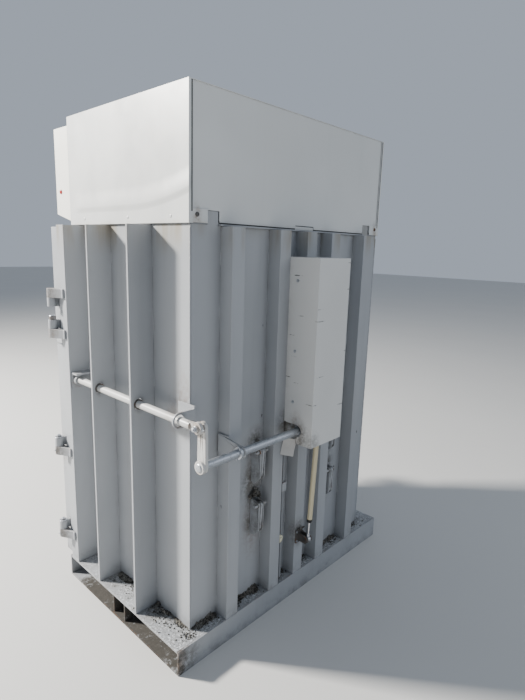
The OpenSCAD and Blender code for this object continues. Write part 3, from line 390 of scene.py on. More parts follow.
def rusted(name, steel, rust, dirt, amount=0.5):
    """Dark steel with rust blooms, and soil and painted shade in the corners."""
    f = Finish(name)
    bloom = f.fade(f.noise(34, 8, 0.72), 0.66 - 0.3 * amount, 0.76 - 0.3 * amount)
    tone = f.mix(f.noise(120, 5, 0.7), shade(rust, 0.7), shade(rust, 2.3))
    base = f.mix(bloom, f.mix(f.noise(12, 3), shade(steel, 0.8), shade(steel, 1.25)), tone)
    # Soil colour in corners from ambient occlusion: painted shade as well as soil
    soil = f.both(f.corners(0.02), 0.8)
    base = f.mix(soil, base, dirt)
    rough = f.either(f.fade(bloom, 0, 1, 0.42, 0.85), soil)
    return f.close(base, rough, f.bump(f.either(bloom, f.noise(300, 3)), 0.3, 0.0008), Metallic=0.35)


def bright_rod(name, colour, rough=0.12):
    """Ground and chromed rod with a film of oil and fine rings."""
    f = Finish(name)
    rings = f.noise(9, 3, 0.6, (1, 1, 260))
    film = f.fade(f.noise(14, 5), 0.45, 0.75)
    base = f.mix(f.both(film, 0.35), colour, shade(colour, 0.55))
    return f.close(base, f.fade(rings, 0.2, 0.8, rough, rough + 0.14), f.bump(rings, 0.04, 0.0002),
                   Metallic=1.0)


def moulded(name, colour, rough=0.42, grain=260):
    """Moulded plastic or rubber with a fine grain, rubbed spots and painted shade in its corners."""
    f = Finish(name)
    base = f.mix(f.fade(f.noise(20, 5, 0.65), 0.4, 0.8, 0, 0.5), colour, shade(colour, 0.72))
    # Painted shade: near black deep in corners and creases
    base = f.mix(f.both(f.corners(0.012, True), 0.5), base, (0.05, 0.045, 0.04))
    return f.close(base, f.fade(f.noise(35, 4), 0.3, 0.7, rough - 0.06, rough + 0.12),
                   f.bump(f.noise(grain, 3, 0.6), 0.12, 0.0004))


def soil_finish(name, dirt):
    """Dry soil and leaf litter: dark crumbs, pale dust and straw coloured bits."""
    f = Finish(name)
    grains = f.part_of(f.cells(130), 0)
    fine = f.part_of(f.cells(380), 1)
    base = f.mix(f.fade(f.both(grains, fine), 0.05, 0.55), shade(dirt, 0.12), shade(dirt, 1.45))
    base = f.mix(f.both(f.fade(f.noise(32, 5, seed=4), 0.50, 0.60), fine), base, (0.24, 0.235, 0.215))
    base = f.mix(f.marks(210, 0.0014, 0.26, 3.0, (1, 1, 2)), base, (0.36, 0.33, 0.25))
    return f.close(base, 0.95, f.bump(f.either(fine, f.noise(260, 7, 0.8)), 0.9, 0.004))


def steel_plate(name, colour, rough=0.42):
    """Mill steel, rubbed by its work."""
    f = Finish(name)
    lines = f.noise(30, 4, 0.6, (1, 0.04, 1))
    base = f.mix(f.fade(lines, 0.4, 0.7), shade(colour, 0.8), shade(colour, 1.15))
    base = f.mix(f.fade(f.noise(16, 6, 0.7), 0.58, 0.7, 0, 0.6), base, (0.12, 0.07, 0.04))
    return f.close(base, f.fade(lines, 0.2, 0.8, rough - 0.08, rough + 0.12), f.bump(lines, 0.1, 0.0004),
                   Metallic=0.8)


def paper_finish(name):
    """Blank card, a little uneven in tone."""
    f = Finish(name)
    base = f.mix(f.noise(40, 5), (0.44, 0.43, 0.41), (0.58, 0.57, 0.55))
    return f.close(base, 0.85, f.bump(f.noise(180, 3), 0.2, 0.0006))


# Which finish each solid takes
FINISH_OF = {
    "body paint": ["ribs_rear", "wall_hinge_side", "fins_hinge_side", "wall_lock_side", "fins_lock_side",
                   "post_hinge_side", "post_lock_side", "header_beam", "shaft_bracket"],
    "rear wall paint": ["wall_rear"],
    "base paint": ["base_frame"],
    "foot plate paint": ["base_plate"],
    "door paint": ["bale_door", "loading_door"],
    "fitting paint": ["door_hinges", "lock_keeper", "latch_keeper", "lift_guides", "rod_guides"],
    "claw paint": ["claw_one", "claw_two", "claw_three", "claw_four", "claw_brackets"],
    "hood paint": ["hood"],
    "box paint": ["control_box"],
    "box door paint": ["cabinet_door"],
    "cover paint": ["cover"],
    "inner paint": ["roof_plate", "crossbeams"],
    "press paint": ["platen", "ejector_flap"],
    "rod paint": ["push_rod", "crank"],
    "slide paint": ["lift_slide"],
    "zinc": ["ejector_shaft", "oil_pipes", "fasteners"],
    "worn steel": ["catch_pawl"],
    "dark steel": ["gas_bracket", "flap_hinge"],
    "wheel lacquer": ["handwheel", "door_latch", "lower_grip", "upper_grip"],
    "chromed rod": ["stage_one", "stage_two", "plunger", "gas_rod"],
    "barrel paint": ["cylinder_barrel"],
    "tank paint": ["oil_tank"],
    "motor paint": ["motor"],
    "valve metal": ["valve_block"],
    "nylon": ["platen_shoes", "guide_disc"],
    "cream paint": ["gas_tube"],
    "red plastic": ["stop_button", "emergency_stop"],
    "green plastic": ["start_button"],
    "black plastic": ["main_switch"],
}


class BALER_OT_finishes(bpy.types.Operator):
    """Make the finishes and lay them on the solid model"""

    bl_idname = "baler.finishes"
    bl_label = "Finishes"

    def execute(self, context):
        c = context.scene.baler_colours
        body, hood, cover = tuple(c.body), tuple(c.hood), tuple(c.cover)
        rust, dirt = tuple(c.rust), tuple(c.dirt)
        # Grime lies a little beside each slot of the claws, on the lock side of it
        beside = 0.012
        grime = [((side * CLAW_X - beside, REAR_Y, z), 0.085, 0.95) for side in (1, -1)
                 for z in (0.75, 0.53)]
        grime += [((x, REAR_Y, z), reach, strength) for x, z, reach, strength in (
            (0.24, 0.60, 0.10, 0.95), (0.232, 0.665, 0.05, 0.8), (0.25, 0.43, 0.06, 0.8),
            (-0.24, 0.59, 0.06, 0.8), (0.094, 0.33, 0.08, 0.8), (0.094, 0.20, 0.07, 0.9))]
        box = tuple(warm * part for warm, part in zip((1.33, 1.30, 1.23), hood))
        # The chamber, its base and its doors
        # The stain band under the hood is partly painted shade of the hood
        painted("body paint", body, dirt, rust, dust=0.28, chips=0.3, foot=(0.10, 0.17, 0.40),
                stain_and_shade=(1.47, 1.60, 0.95), nicks=0.6, inside=(CHAMBER_HALF, -1.0, POST_INSIDE_Y),
                # The spots at the rod's holes in the fins are painted shade inside the holes; the last two,
                # in the shaft's notch, are painted shade there, with grease
                spots=[((0.0, 0.41, 0.30), 0.07, 0.9), ((ROD_X, FINS_Y[1], ROD_Z), 0.034, 0.9),
                       ((ROD_X, FINS_Y[0], ROD_Z), 0.034, 0.9), ((0.433, 0.47, 0.82), 0.045, 1.0),
                       ((0.116, 0.445, 0.835), 0.085, 1.0), ((0.112, 0.385, 0.830), 0.095, 1.0)],
                smears=[((0.570, 0.31, 0.985), 0.075, 0.55), ((0.570, 0.25, 0.93), 0.05, 0.4)])
        # The stain band under the hood is partly painted shade of the hood
        painted("rear wall paint", body, dirt, rust, dust=0.30, chips=0.4, foot=(0.10, 0.18, 0.45),
                spots=grime, stain_and_shade=(1.54, 1.60, 0.5), nicks=0.6, inside=(CHAMBER_HALF, -1.0, WALL_INSIDE_Y),
                smears=[((CLAW_X, REAR_Y, 0.40), 0.09, 0.5), ((CLAW_X, REAR_Y, 0.64), 0.07, 0.45),
                        ((-CLAW_X, REAR_Y, 0.40), 0.08, 0.4)])
        # The strong spots along the hinge side of the base and its darker soil colour are painted shade
        # standing for the shadow of an open channel there, over soil
        painted("base paint", shade(body, 0.95), shade(dirt, 0.5), rust, dust=0.45, chips=1.0, streaks=0.2,
                foot=(0.0, 0.07, 0.5), nicks=0.7, settled=0.4,
                spots=[((0.665, y, 0.03), 0.17, 2.2) for y in (0.31, 0.18, 0.06, -0.08, -0.22)]
                + [((x, y, 0.04), 0.15, 2.2) for x in (0.62, 0.71) for y in (0.24, 0.10, -0.04, -0.18)],
                smears=[((0.665, 0.41, 0.085), 0.045, 1.0), ((0.665, 0.41, 0.04), 0.030, 1.0),
                        ((0.665, 0.30, 0.098), 0.030, 0.8)])
        painted("foot plate paint", shade(body, 0.85), dirt, rust, dust=0.9, chips=0.9, streaks=0.1,
                settled=0.35, speckle=0.65, nicks=0.8,
                spots=[((0.60, 0.17, 0.1), 0.10, 0.9), ((0.60, -0.1, 0.1), 0.12, 0.8)])
        painted("door paint", body, dirt, rust, dust=0.5, chips=0.4, streaks=0.25, foot=(0.10, 0.26, 0.5),
                alone=True, inside=(CHAMBER_HALF, DOOR_INSIDE_Y, 1.0),
                smears=[((LOCK_X, -0.47, 0.57), 0.07, 0.5), ((0.66, -0.45, 0.6), 0.06, 0.4)])
        painted("fitting paint", body, dirt, rust, dust=0.7, chips=0.85, nicks=0.8,
                spots=[((0.69, HINGE_Y, z), 0.075, 0.7) for z in (0.22, 0.62, 1.22, 1.32)],
                smears=[((ROD_X, 0.375, ROD_Z), 0.03, 0.8), ((ROD_X, -0.33, ROD_Z), 0.035, 0.6)]
                + [((0.69, -0.43, z), 0.085, 0.6) for z in (0.25, 0.66, 1.17, 1.27)])
        painted("claw paint", shade(body, 1.15), dirt, rust, dust=1.0, chips=0.6, streaks=0.6, alone=True,
                nicks=1.0, settled=1.0,
                spots=[((side * CLAW_X - beside, 0.375, z), 0.055, 0.9) for side in (1, -1)
                       for z in (0.74, 0.65, 0.52, 0.42)])
        # The hood, the control box and the cover
        painted("hood paint", hood, dirt, rust, dust=0.2, chips=0.15, streaks=0.08, gloss=0.34, nicks=0.2,
                dent=(0.574, 1.658, 0.02, 0.41), settled=0.35, stain_and_shade=(1.62, 1.606, 0.25),
                smears=[((side * 0.541, 0.356, 1.622), 0.026, 0.8) for side in (1, -1)])
        painted("box paint", box, dirt, rust, dust=0.25, chips=0.15, streaks=0.08, nicks=0.25)
        painted("box door paint", box, dirt, rust, dust=0.2, chips=0.15, streaks=0.08, alone=True,
                nicks=0.25)
        painted("cover paint", cover, dirt, rust, dust=0.3, chips=0.4, streaks=0.1, nicks=0.5, settled=0.4,
                scratches=0.2, spots=[((0.12, 0.545, 0.775), 0.06, 0.6), ((0.13, 0.49, 0.80), 0.07, 0.8)],
                smears=[((0.13, 0.47, 0.82), 0.05, 0.7)])
        painted("inner paint", shade(body, 0.9), dirt, rust, dust=0.6, chips=0.3, settled=0.8)
        # The press plate and the fittings that move
        painted("press paint", (0.23, 0.23, 0.22), dirt, rust, dust=0.8, chips=1.0, streaks=0.3, alone=True,
                nicks=1.0)
        painted("rod paint", shade(cover, 0.86), dirt, rust, dust=0.7, chips=0.9, streaks=0.1, alone=True,
                nicks=0.6, settled=0.2,
                smears=[((ROD_X, 0.462, ROD_Z), 0.05, 1.0), ((ROD_X, 0.33, ROD_Z), 0.04, 0.6),
                        ((0.62, 0.475, 0.80), 0.03, 0.5)])
        painted("slide paint", shade(body, 0.7), dirt, rust, dust=0.8, chips=0.9, streaks=0.3, alone=True,
                nicks=1.0)
        galvanised("zinc", tuple(c.zinc), dirt)
        rusted("worn steel", (0.30, 0.30, 0.29), rust, dirt, 0.45)
        rusted("dark steel", (0.10, 0.095, 0.09), rust, dirt, 0.5)
        painted("wheel lacquer", (0.035, 0.035, 0.037), dirt, rust, dust=0.5, chips=0.8, streaks=0.1,
                alone=True, gloss=0.3)
        bright_rod("chromed rod", (0.72, 0.72, 0.74))
        # The power unit under the hood
        painted("barrel paint", (0.045, 0.055, 0.06), dirt, rust, dust=0.6, chips=0.4, streaks=0.1)
        painted("tank paint", (0.10, 0.13, 0.15), dirt, rust, dust=0.6, chips=0.3, streaks=0.15)
        painted("motor paint", (0.05, 0.10, 0.17), dirt, rust, dust=0.8, chips=0.3, streaks=0.1)
        steel_plate("valve metal", (0.50, 0.50, 0.50), 0.35)
        # Plastic, rubber, soil and card
        moulded("nylon", (0.70, 0.67, 0.50), 0.5)
        painted("cream paint", tuple(c.cream), dirt, rust, dust=0.4, chips=0.3, streaks=0.25, alone=True,
                gloss=0.34)
        moulded("black plastic", (0.018, 0.018, 0.019), 0.38)
        moulded("rubber", (0.022, 0.021, 0.020), 0.7, 180)
        moulded("red plastic", (0.42, 0.018, 0.012), 0.28)
        moulded("green plastic", (0.02, 0.22, 0.06), 0.3)
        moulded("yellow plastic", (0.70, 0.45, 0.03), 0.35)
        moulded("pale plastic", (0.55, 0.56, 0.54), 0.4)
        moulded("grey plastic", (0.11, 0.115, 0.12), 0.45)
        soil_finish("soil", dirt)
        paper_finish("card")
        context.view_layer.update()
        for name, nodes in FINISH_OF.items():
            for node in nodes:
                solid = frame["nodes"][node]
                solid.data.materials.clear()
                solid.data.materials.append(Finish.made[name])
        return {"FINISHED"}


class BALER_OT_edges(bpy.types.Operator):
    """Round the sharp edges of the solid model a little"""

    bl_idname = "baler.edges"
    bl_label = "Rounded edges"

    def execute(self, context):
        width = context.scene.baler_sizes.edge
        thin = {"hood", "cover", "control_box", "cabinet_door"}
        for name, solid in frame["nodes"].items():
            weld = solid.modifiers.new("Joined faces", "WELD")
            weld.merge_threshold = 0.00002
            bevel = solid.modifiers.new("Rounded edges", "BEVEL")
            bevel.width = width * (0.55 if name in thin else 1.0)
            bevel.segments = 2
            bevel.limit_method = "ANGLE"
            bevel.angle_limit = math.radians(40)
            bevel.use_clamp_overlap = False
            bevel.harden_normals = True
            solid.modifiers.new("Flat faces", "WEIGHTED_NORMAL").weight = 60
            solid.data.polygons.foreach_set("use_smooth", [True] * len(solid.data.polygons))
        return {"FINISHED"}


# Forms


def looking(at, along, size=1.0):
    """The place of a small shape: its foot at a point, its own Z along a direction."""
    return (Matrix.Translation(Vector(at)) @ Vector(along).to_track_quat("Z", "Y").to_matrix().to_4x4()
            @ Matrix.Scale(size, 4))


class Form:
    """The mesh of one piece while it is being shaped, in metres, in the machine's own axes."""

    def __init__(self):
        self.bm = bmesh.new()

    def block(self, low, high, edge=0.0, segments=2):
        """A box between two corners, with rounded edges if asked."""
        low, high = Vector(low), Vector(high)
        place = Matrix.Translation((low + high) / 2) @ Matrix.Diagonal((*(high - low), 1.0))
        verts = bmesh.ops.create_cube(self.bm, size=1.0, matrix=place)["verts"]
        if edge:
            edges = {e for v in verts for e in v.link_edges}
            bmesh.ops.bevel(self.bm, geom=list(edges), offset=edge, offset_type="OFFSET", affect="EDGES",
                            segments=segments, profile=0.5, material=-1, clamp_overlap=True)

    def rod(self, start, end, radius, sides=32, end_radius=None, edge=0.0, segments=2):
        """A straight bar, round or with a few sides, with rounded rims if asked."""
        start, end = Vector(start), Vector(end)
        axis = end - start
        place = looking((start + end) / 2, axis)
        verts = bmesh.ops.create_cone(self.bm, cap_ends=True, cap_tris=False, segments=sides,
                                      radius1=radius, radius2=radius if end_radius is None else end_radius,
                                      depth=axis.length, matrix=place)["verts"]
        if edge:
            rims = [e for e in {e for v in verts for e in v.link_edges}
                    if any(len(face.verts) == sides for face in e.link_faces)]
            bmesh.ops.bevel(self.bm, geom=rims, offset=edge, offset_type="OFFSET", affect="EDGES",
                            segments=segments, profile=0.5, material=-1, clamp_overlap=True)

    def turned(self, profile, centre, axis, sides=40):
        """A profile of (radius, height) pairs spun about an axis through the centre."""
        centre, axis = Vector(centre), Vector(axis).normalized()
        side = axis.orthogonal().normalized()
        verts = [self.bm.verts.new(centre + side * r + axis * h) for r, h in profile]
        edges = [self.bm.edges.new(pair) for pair in zip(verts, verts[1:])]
        bmesh.ops.spin(self.bm, geom=verts + edges, cent=centre, axis=axis, dvec=(0, 0, 0),
                       angle=math.tau, steps=sides, use_merge=True, use_duplicate=False)
        bmesh.ops.remove_doubles(self.bm, verts=self.bm.verts, dist=1e-6)

    def swept(self, points, radius, sides=8, closed=False):
        """A round bar along a line of points; the radius may be one number or one for each point."""
        points = [Vector(p) for p in points]
        last = len(points) - 1
        radii = radius if isinstance(radius, (list, tuple)) else [radius] * len(points)
        rings = []
        for k, point in enumerate(points):
            if closed:
                ahead = points[(k + 1) % (last + 1)] - points[k - 1]
            else:
                ahead = points[min(k + 1, last)] - points[max(k - 1, 0)]
            rings.append(bmesh.ops.create_circle(self.bm, cap_ends=not closed and k in (0, last),
                                                 segments=sides, radius=radii[k],
                                                 matrix=looking(point, ahead))["verts"])
        for one, two in zip(rings, rings[1:] + rings[:1] if closed else rings[1:]):
            edges = {e for ring in (one, two) for v in ring for e in v.link_edges
                     if e.other_vert(v) in ring}
            bmesh.ops.bridge_loops(self.bm, edges=list(edges))

    def lump(self, centre, size, detail=1, rough=0.25, seed=0.0):
        """A clod: a small sphere pressed out of round."""
        place = Matrix.Translation(centre) @ Matrix.Diagonal((*size, 1.0))
        verts = bmesh.ops.create_icosphere(self.bm, subdivisions=detail, radius=1.0, matrix=place)["verts"]
        for v in verts:
            out = v.co - Vector(centre)
            v.co += out * rough * noise.noise(v.co * 60 + Vector((seed, 0, 0)))

    def kept(self):
        """The finished shape as a mesh that can be stamped many times."""
        mesh = bpy.data.meshes.new("stamp")
        self.bm.to_mesh(mesh)
        self.bm.free()
        return mesh

    def stamp(self, mesh, place):
        """Adds a copy of a kept shape at a place."""
        copy = mesh.copy()
        copy.transform(place)
        self.bm.from_mesh(copy)
        bpy.data.meshes.remove(copy)

    def placed(self, name, body, finish, slot, angle=35, replaces=()):
        """Turns the form into a finished piece that rides on a body."""
        bmesh.ops.recalc_face_normals(self.bm, faces=self.bm.faces)
        mesh = bpy.data.meshes.new(name)
        self.bm.to_mesh(mesh)
        self.bm.free()
        mesh.polygons.foreach_set("use_smooth", [True] * len(mesh.polygons))
        mesh.set_sharp_from_angle(angle=math.radians(angle))
        mesh.materials.append(Finish.made[finish])
        piece = bpy.data.objects.new(name, mesh)
        bpy.context.scene.collection.objects.link(piece)
        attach(piece, body)
        if replaces:
            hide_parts(*replaces)


def washer_profile(inner, outer, thick, edge):
    """Section of a washer with broken outer edges."""
    return [(inner, 0.0), (outer - edge, 0.0), (outer, edge), (outer, thick - edge), (outer - edge, thick),
            (inner, thick)]


def hex_screw_shape():
    """Washer, hexagon head and rounded thread end, 1 across the corners of the washer."""
    form = Form()
    form.turned([(0, 0.0), (0.98, 0.0), (1.02, 0.04), (1.02, 0.14), (0.96, 0.18), (0, 0.18)], (0, 0, 0), Z,
                28)
    form.rod((0, 0, 0.17), (0, 0, 0.80), 0.86, 6, edge=0.05)
    form.turned([(0, 0.84), (0.48, 0.83), (0.62, 0.79), (0.62, 0.7)], (0, 0, 0), Z, 20)
    return form.kept()


def pan_screw_shape():
    """Round head with a sunk drive."""
    form = Form()
    form.turned([(1.0, 0.0), (1.0, 0.12), (0.93, 0.34), (0.70, 0.52), (0.30, 0.60), (0.26, 0.60),
                 (0.22, 0.30), (0, 0.26)], (0, 0, 0), Z, 28)
    return form.kept()


def nut_shape():
    """Hexagon nut on a washer, with the end of its thread, 1 from the middle to a corner."""
    form = Form()
    form.turned([(0, 0.0), (1.12, 0.0), (1.18, 0.05), (1.18, 0.17), (1.12, 0.22), (0, 0.22)], (0, 0, 0), Z,
                32)
    form.rod((0, 0, 0.21), (0, 0, 1.02), 1.0, 6, edge=0.07, segments=3)
    form.turned([(0, 1.34), (0.42, 1.34), (0.54, 1.24), (0.54, 0.9)], (0, 0, 0), Z, 24)
    return form.kept()


def grease_nipple_shape():
    """Six sided foot, waist and round mouth, 1 high."""
    form = Form()
    form.rod((0, 0, 0), (0, 0, 0.32), 0.42, 6, edge=0.03)
    form.turned([(0.30, 0.30), (0.22, 0.42), (0.16, 0.55), (0.17, 0.66), (0.25, 0.74), (0.26, 0.84),
                 (0.18, 0.95), (0.07, 1.0), (0, 0.96)], (0, 0, 0), Z, 20)
    return form.kept()


def split_pin_shape():
    """Eye on one side, two spread legs on the other, lying along Z through the middle, 1 long."""
    form = Form()
    turn = [(0.0, 0.13 * math.sin(a), 0.42 + 0.12 * math.cos(a))
            for a in [math.pi * k / 6 for k in range(-4, 5)]]
    form.swept([(0, -0.035, 0.28), *turn, (0, 0.035, 0.28)], 0.045, 6)
    for s in (-1, 1):
        form.swept([(0, s * 0.035, 0.3), (0, s * 0.035, -0.30), (0, s * 0.08, -0.38), (0, s * 0.17, -0.45)],
                   [0.045, 0.045, 0.045, 0.03], 6)
    return form.kept()


def stitch_shape(length, leg, rng):
    """One rippled stretch of weld along Z."""
    steps = max(4, int(length / 0.0055))
    form = Form()
    form.swept([(0, 0, length * k / steps) for k in range(steps + 1)],
               [leg * (0.86 + 0.22 * (k % 2) + 0.08 * rng.random()) * (0.5 if k in (0, steps) else 1.0)
                for k in range(steps + 1)], 7)
    return form.kept()


def ring_weld(form, centre, axis, radius, leg, rng, steps=30):
    """A rippled weld round a boss."""
    spin = looking(centre, axis)
    angles = [math.tau * k / steps for k in range(steps)]
    ring = [spin @ Vector((radius * math.cos(a), radius * math.sin(a), 0)) for a in angles]
    legs = [leg * (0.8 + 0.25 * (k % 2) + 0.08 * rng.random()) for k in range(steps)]
    form.swept(ring, legs, 6, True)


class BALER_OT_screws(bpy.types.Operator):
    """Screws of the cover and the spring bracket, and screws, rivets, lips and painted seam shade of the
    hood
    """

    bl_idname = "baler.screws"
    bl_label = "Screws"

    def execute(self, context):
        hood_low, hood_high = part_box("hood")
        cover_low, cover_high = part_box("cover")
        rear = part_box("ribs_rear")[1].y
        hexagon, pan = hex_screw_shape(), pan_screw_shape()
        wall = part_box("wall_rear")[1].y
        form = Form()
        for drop in (0.0878, 0.3587, 0.5636):
            form.stamp(hexagon, looking((cover_high.x, 0.45, cover_high.z - drop), X, 0.006))
        for z in (0.95, 1.13, 1.31):
            form.stamp(pan, looking((cover_low.x + 0.009, wall + 0.002, z), Y, 0.005))
        for x in (-0.0205, 0.0205):
            for z in (0.263, 0.306):
                form.stamp(hexagon, looking((x, rear + 0.006, z), Y, 0.0046))
        form.placed("screws", "frame", "zinc", "galvanised", replaces=("fasteners",))
        form = Form()
        for s in (-1, 1):
            form.stamp(pan, looking((s * (hood_high.x - 0.034), hood_high.y, hood_low.z + 0.028), Y,
                                    0.0078))
        form.placed("hood_screws", "frame", "dark steel", "dark_steel")
        rivets = Form()
        for s in (-1, 1):
            for y in (-0.32, 0.0, 0.26):
                rivets.turned([(0.0058, 0.0), (0.0056, 0.0008), (0.0040, 0.0017), (0.0016, 0.0020),
                               (0.0, 0.0014)], (s * hood_high.x, y, hood_low.z + 0.022), s * X, 24)
        rivets.placed("hood_rivets", "frame", "hood paint", "hood_paint")
        # The folded lower and rear edges: closing lips, and dark strips of painted shade in the gaps where
        # sheets meet
        corner_x, tab_ends, lip_spans = 0.4958, (-0.0735, 0.0405), ((-0.4402, -0.0755), (0.0425, 0.4402))
        lips, seams, floor = Form(), Form(), hood_low.z
        panel = hood_high.y - HOOD_SHEET - 0.002
        for s in (-1, 1):
            ends = sorted((s * corner_x, s * (hood_high.x - 0.0005)))
            lips.block((ends[0], hood_high.y - 0.0016, floor + 0.0022),
                       (ends[1], hood_high.y - 0.0001, floor + 0.0125), 0.0003)
            ends = sorted((s * (hood_high.x - 0.0148), s * (hood_high.x - 0.0100)))
            seams.block((ends[0], hood_high.y - 0.0006, floor + 0.036),
                        (ends[1], hood_high.y + 0.0004, hood_high.z - 0.003))
        for x0, x1 in lip_spans:
            lips.block((x0, panel - 0.0017, floor + 0.0068), (x1, panel - 0.0002, floor + 0.0125), 0.0003)
            seams.block((x0, panel - 0.0014, floor + 0.0030), (x1, panel - 0.0004, floor + 0.0066))
        x0, x1 = tab_ends
        seams.block((x0, panel - 0.0014, floor + 0.0152), (x1, panel - 0.0006, floor + 0.0176))
        lips.block((x0, panel - 0.0030, floor + 0.0015), (x1, panel - 0.0015, floor + 0.0160), 0.0003)
        lips.placed("hood_lips", "frame", "hood paint", "hood_paint")
        seams.placed("hood_gap_shade", "frame", "rubber", "dark_steel")
        return {"FINISHED"}


class BALER_OT_welds(bpy.types.Operator):
    """Stitch welds along the ribs and the fins, and seams at the corners and on the doors"""

    bl_idname = "baler.welds"
    bl_label = "Weld beads"

    def execute(self, context):
        sizes = context.scene.baler_sizes
        rng = random.Random(11)
        low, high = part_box("wall_rear")
        rear, foot, top = high.y, low.z, 1.597
        stitches = [stitch_shape(sizes.stitch, sizes.bead * 0.75, rng) for _ in range(5)]
        seams = [stitch_shape(0.056, 0.0032, rng) for _ in range(3)]
        form = Form()

        def run_of(x, y, pitch):
            z = foot + 0.03 + 0.02 * rng.random()
            while z + sizes.stitch < top:
                form.stamp(rng.choice(stitches), Matrix.Translation((x, y, z)))
                z += pitch + 0.01 * rng.random()

        for x in RIBS_X:
            for s in (-1, 1):
                run_of(x + s * 0.0300, rear, sizes.pitch)
        for s in (-1, 1):
            for y in FINS_Y:
                for t in (-1, 1):
                    run_of(s * SIDE_X, y + t * 0.005, sizes.pitch * 1.15)
        for x in RIBS_X:
            form.stamp(rng.choice(seams), looking((x - 0.028, 0.4100, foot), X))
        corner = stitch_shape(0.048, 0.0028, rng)
        for s in (-1, 1):
            for k in range(31):
                form.stamp(corner,
                           Matrix.Translation((s * 0.5648, rear - 0.0006, foot + 0.002 + 0.048 * k)))
        for z in (0.790, 0.858):
            form.stamp(rng.choice(seams), looking((0.437, 0.358, z), Y))
        form.placed("weld_beads", "frame", "body paint", "body_paint", angle=70)
        proud = DOOR_FRONT_Y + 0.0018
        doors = (("lower_door_welds", "lower_door", 0.112, 1.096, (0.362, 0.610, 0.866)),
                 ("upper_door_welds", "upper_door", 1.104, 1.590, (1.340,)))
        for name, body, z0, z1, ribs_at in doors:
            form = Form()
            for x in (-0.550, 0.605):
                for z in ribs_at:
                    form.stamp(rng.choice(seams), Matrix.Translation((x, proud, z - 0.028)))
            for x, sx in ((-0.600, 1), (0.655, -1)):
                for z, sz in ((z0, 1), (z1, -1)):
                    form.stamp(rng.choice(seams),
                               looking((x + sx * 0.006, proud, z + sz * 0.006), (sx, 0, sz)))
            form.placed(name, body, "door paint", "body_paint", angle=70)
        return {"FINISHED"}


class BALER_OT_linkage(bpy.types.Operator):
    """Hardware of the ejector linkage, the claws and the hinges, and the ends of handwheel and latch"""

    bl_idname = "baler.linkage"
    bl_label = "Linkage hardware"

    def execute(self, context):
        rng = random.Random(3)
        nut, pin, nipple = nut_shape(), split_pin_shape(), grease_nipple_shape()
        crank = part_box("crank")[1].x
        form = Form()
        form.stamp(nut, looking((crank, SHAFT_Y, ROD_Z), X, 0.0085))
        form.turned([(0.0, 0.0042), (0.0115, 0.0042), (0.0130, 0.0034), (0.0150, 0.0008), (0.0150, 0.0)],
                    (ROD_X - 0.004, SHAFT_Y, SHAFT_Z), X, 36)
        form.stamp(pin, looking((0.452 + 0.004, SHAFT_Y, SHAFT_Z), (0, 0.3, 1), 0.052))
        form.placed("crank_hardware", "shaft", "zinc", "galvanised")
        form = Form()
        ring_weld(form, (0.606, SHAFT_Y, SHAFT_Z), X, 0.0158, 0.003, rng)
        ring_weld(form, (0.618, SHAFT_Y, ROD_Z), X, 0.0088, 0.0024, rng, 22)
        form.placed("crank_welds", "shaft", "rod paint", "rod_paint", angle=70)
        form = Form()
        form.stamp(nipple, looking((ROD_X, SHAFT_Y + 0.0195, ROD_Z), Y, 0.011))
        form.turned([(0.0144, -0.007), (0.0205, -0.007), (0.0212, -0.006), (0.0212, 0.006), (0.0205, 0.007),
                     (0.0144, 0.007)], (ROD_X, -0.315, ROD_Z), Y, 40)
        form.stamp(nut, looking((ROD_X, -0.315, ROD_Z + 0.0205), Z, 0.0045))
        form.placed("push_rod_hardware", "rod", "zinc", "galvanised")
        form = Form()
        for y in FINS_Y:
            form.turned([(0.0144, -0.0060), (0.0180, -0.0060), (0.0190, -0.0048), (0.0190, 0.0048),
                         (0.0180, 0.0060), (0.0144, 0.0060), (0.0144, -0.0060)], (ROD_X, y, ROD_Z), Y, 40)
        form.placed("rod_bushings", "frame", "dark steel", "dark_steel")
        form = Form()
        claw_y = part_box("wall_rear")[1].y + 0.042
        for x in (-CLAW_X, CLAW_X):
            for z in CLAW_PINS_Z:
                for s in (-1, 1):
                    form.turned(washer_profile(0.0062, 0.0119, 0.0026, 0.0004),
                                (x + s * 0.0142, claw_y, z), s * X, 28)
                    form.stamp(pin, looking((x + s * 0.0265, claw_y, z), (0, rng.uniform(-0.5, 0.5), 1),
                                            0.024))
        form.placed("claw_pins", "frame", "worn steel", "dark_steel")
        form = Form()
        for z in (0.281, 0.683):
            form.turned(washer_profile(0.0092, 0.0166, 0.0030, 0.0006), (HINGE_X, HINGE_Y, z + 0.0005), Z,
                        36)
            form.turned([(0.0, 0.0036), (0.0055, 0.0034), (0.0080, 0.0022), (0.0090, 0.0)],
                        (HINGE_X, HINGE_Y, z + 0.010), Z, 32)
            form.stamp(nipple, looking((HINGE_X + 0.0176, HINGE_Y, z - 0.057), X, 0.009))
        form.turned([(0.0, 0.0036), (0.0085, 0.0034), (0.0124, 0.0022), (0.0138, 0.0)],
                    (HINGE_X, HINGE_Y, 1.2245), Z, 32)
        form.placed("hinge_hardware", "frame", "zinc", "galvanised")
        form = Form()
        form.stamp(nut, looking((LOCK_X, -0.5395, WHEEL_Z), -Y, 0.0105))
        form.placed("handwheel_nut", "wheel", "zinc", "galvanised")
        latch_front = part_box("door_latch")[0].y
        form = Form()
        form.turned([(0.0, 0.0010), (0.0090, 0.0), (0.0128, 0.0016), (0.0142, 0.0060), (0.0152, 0.0150),
                     (0.0146, 0.0260), (0.0128, 0.0350), (0.0132, 0.0368), (0.0112, 0.0368)],
                    (LOCK_X, latch_front - 0.001, LATCH_Z), Y, 40)
        form.placed("latch_grip", "latch", "black plastic", "switch_black")
        return {"FINISHED"}


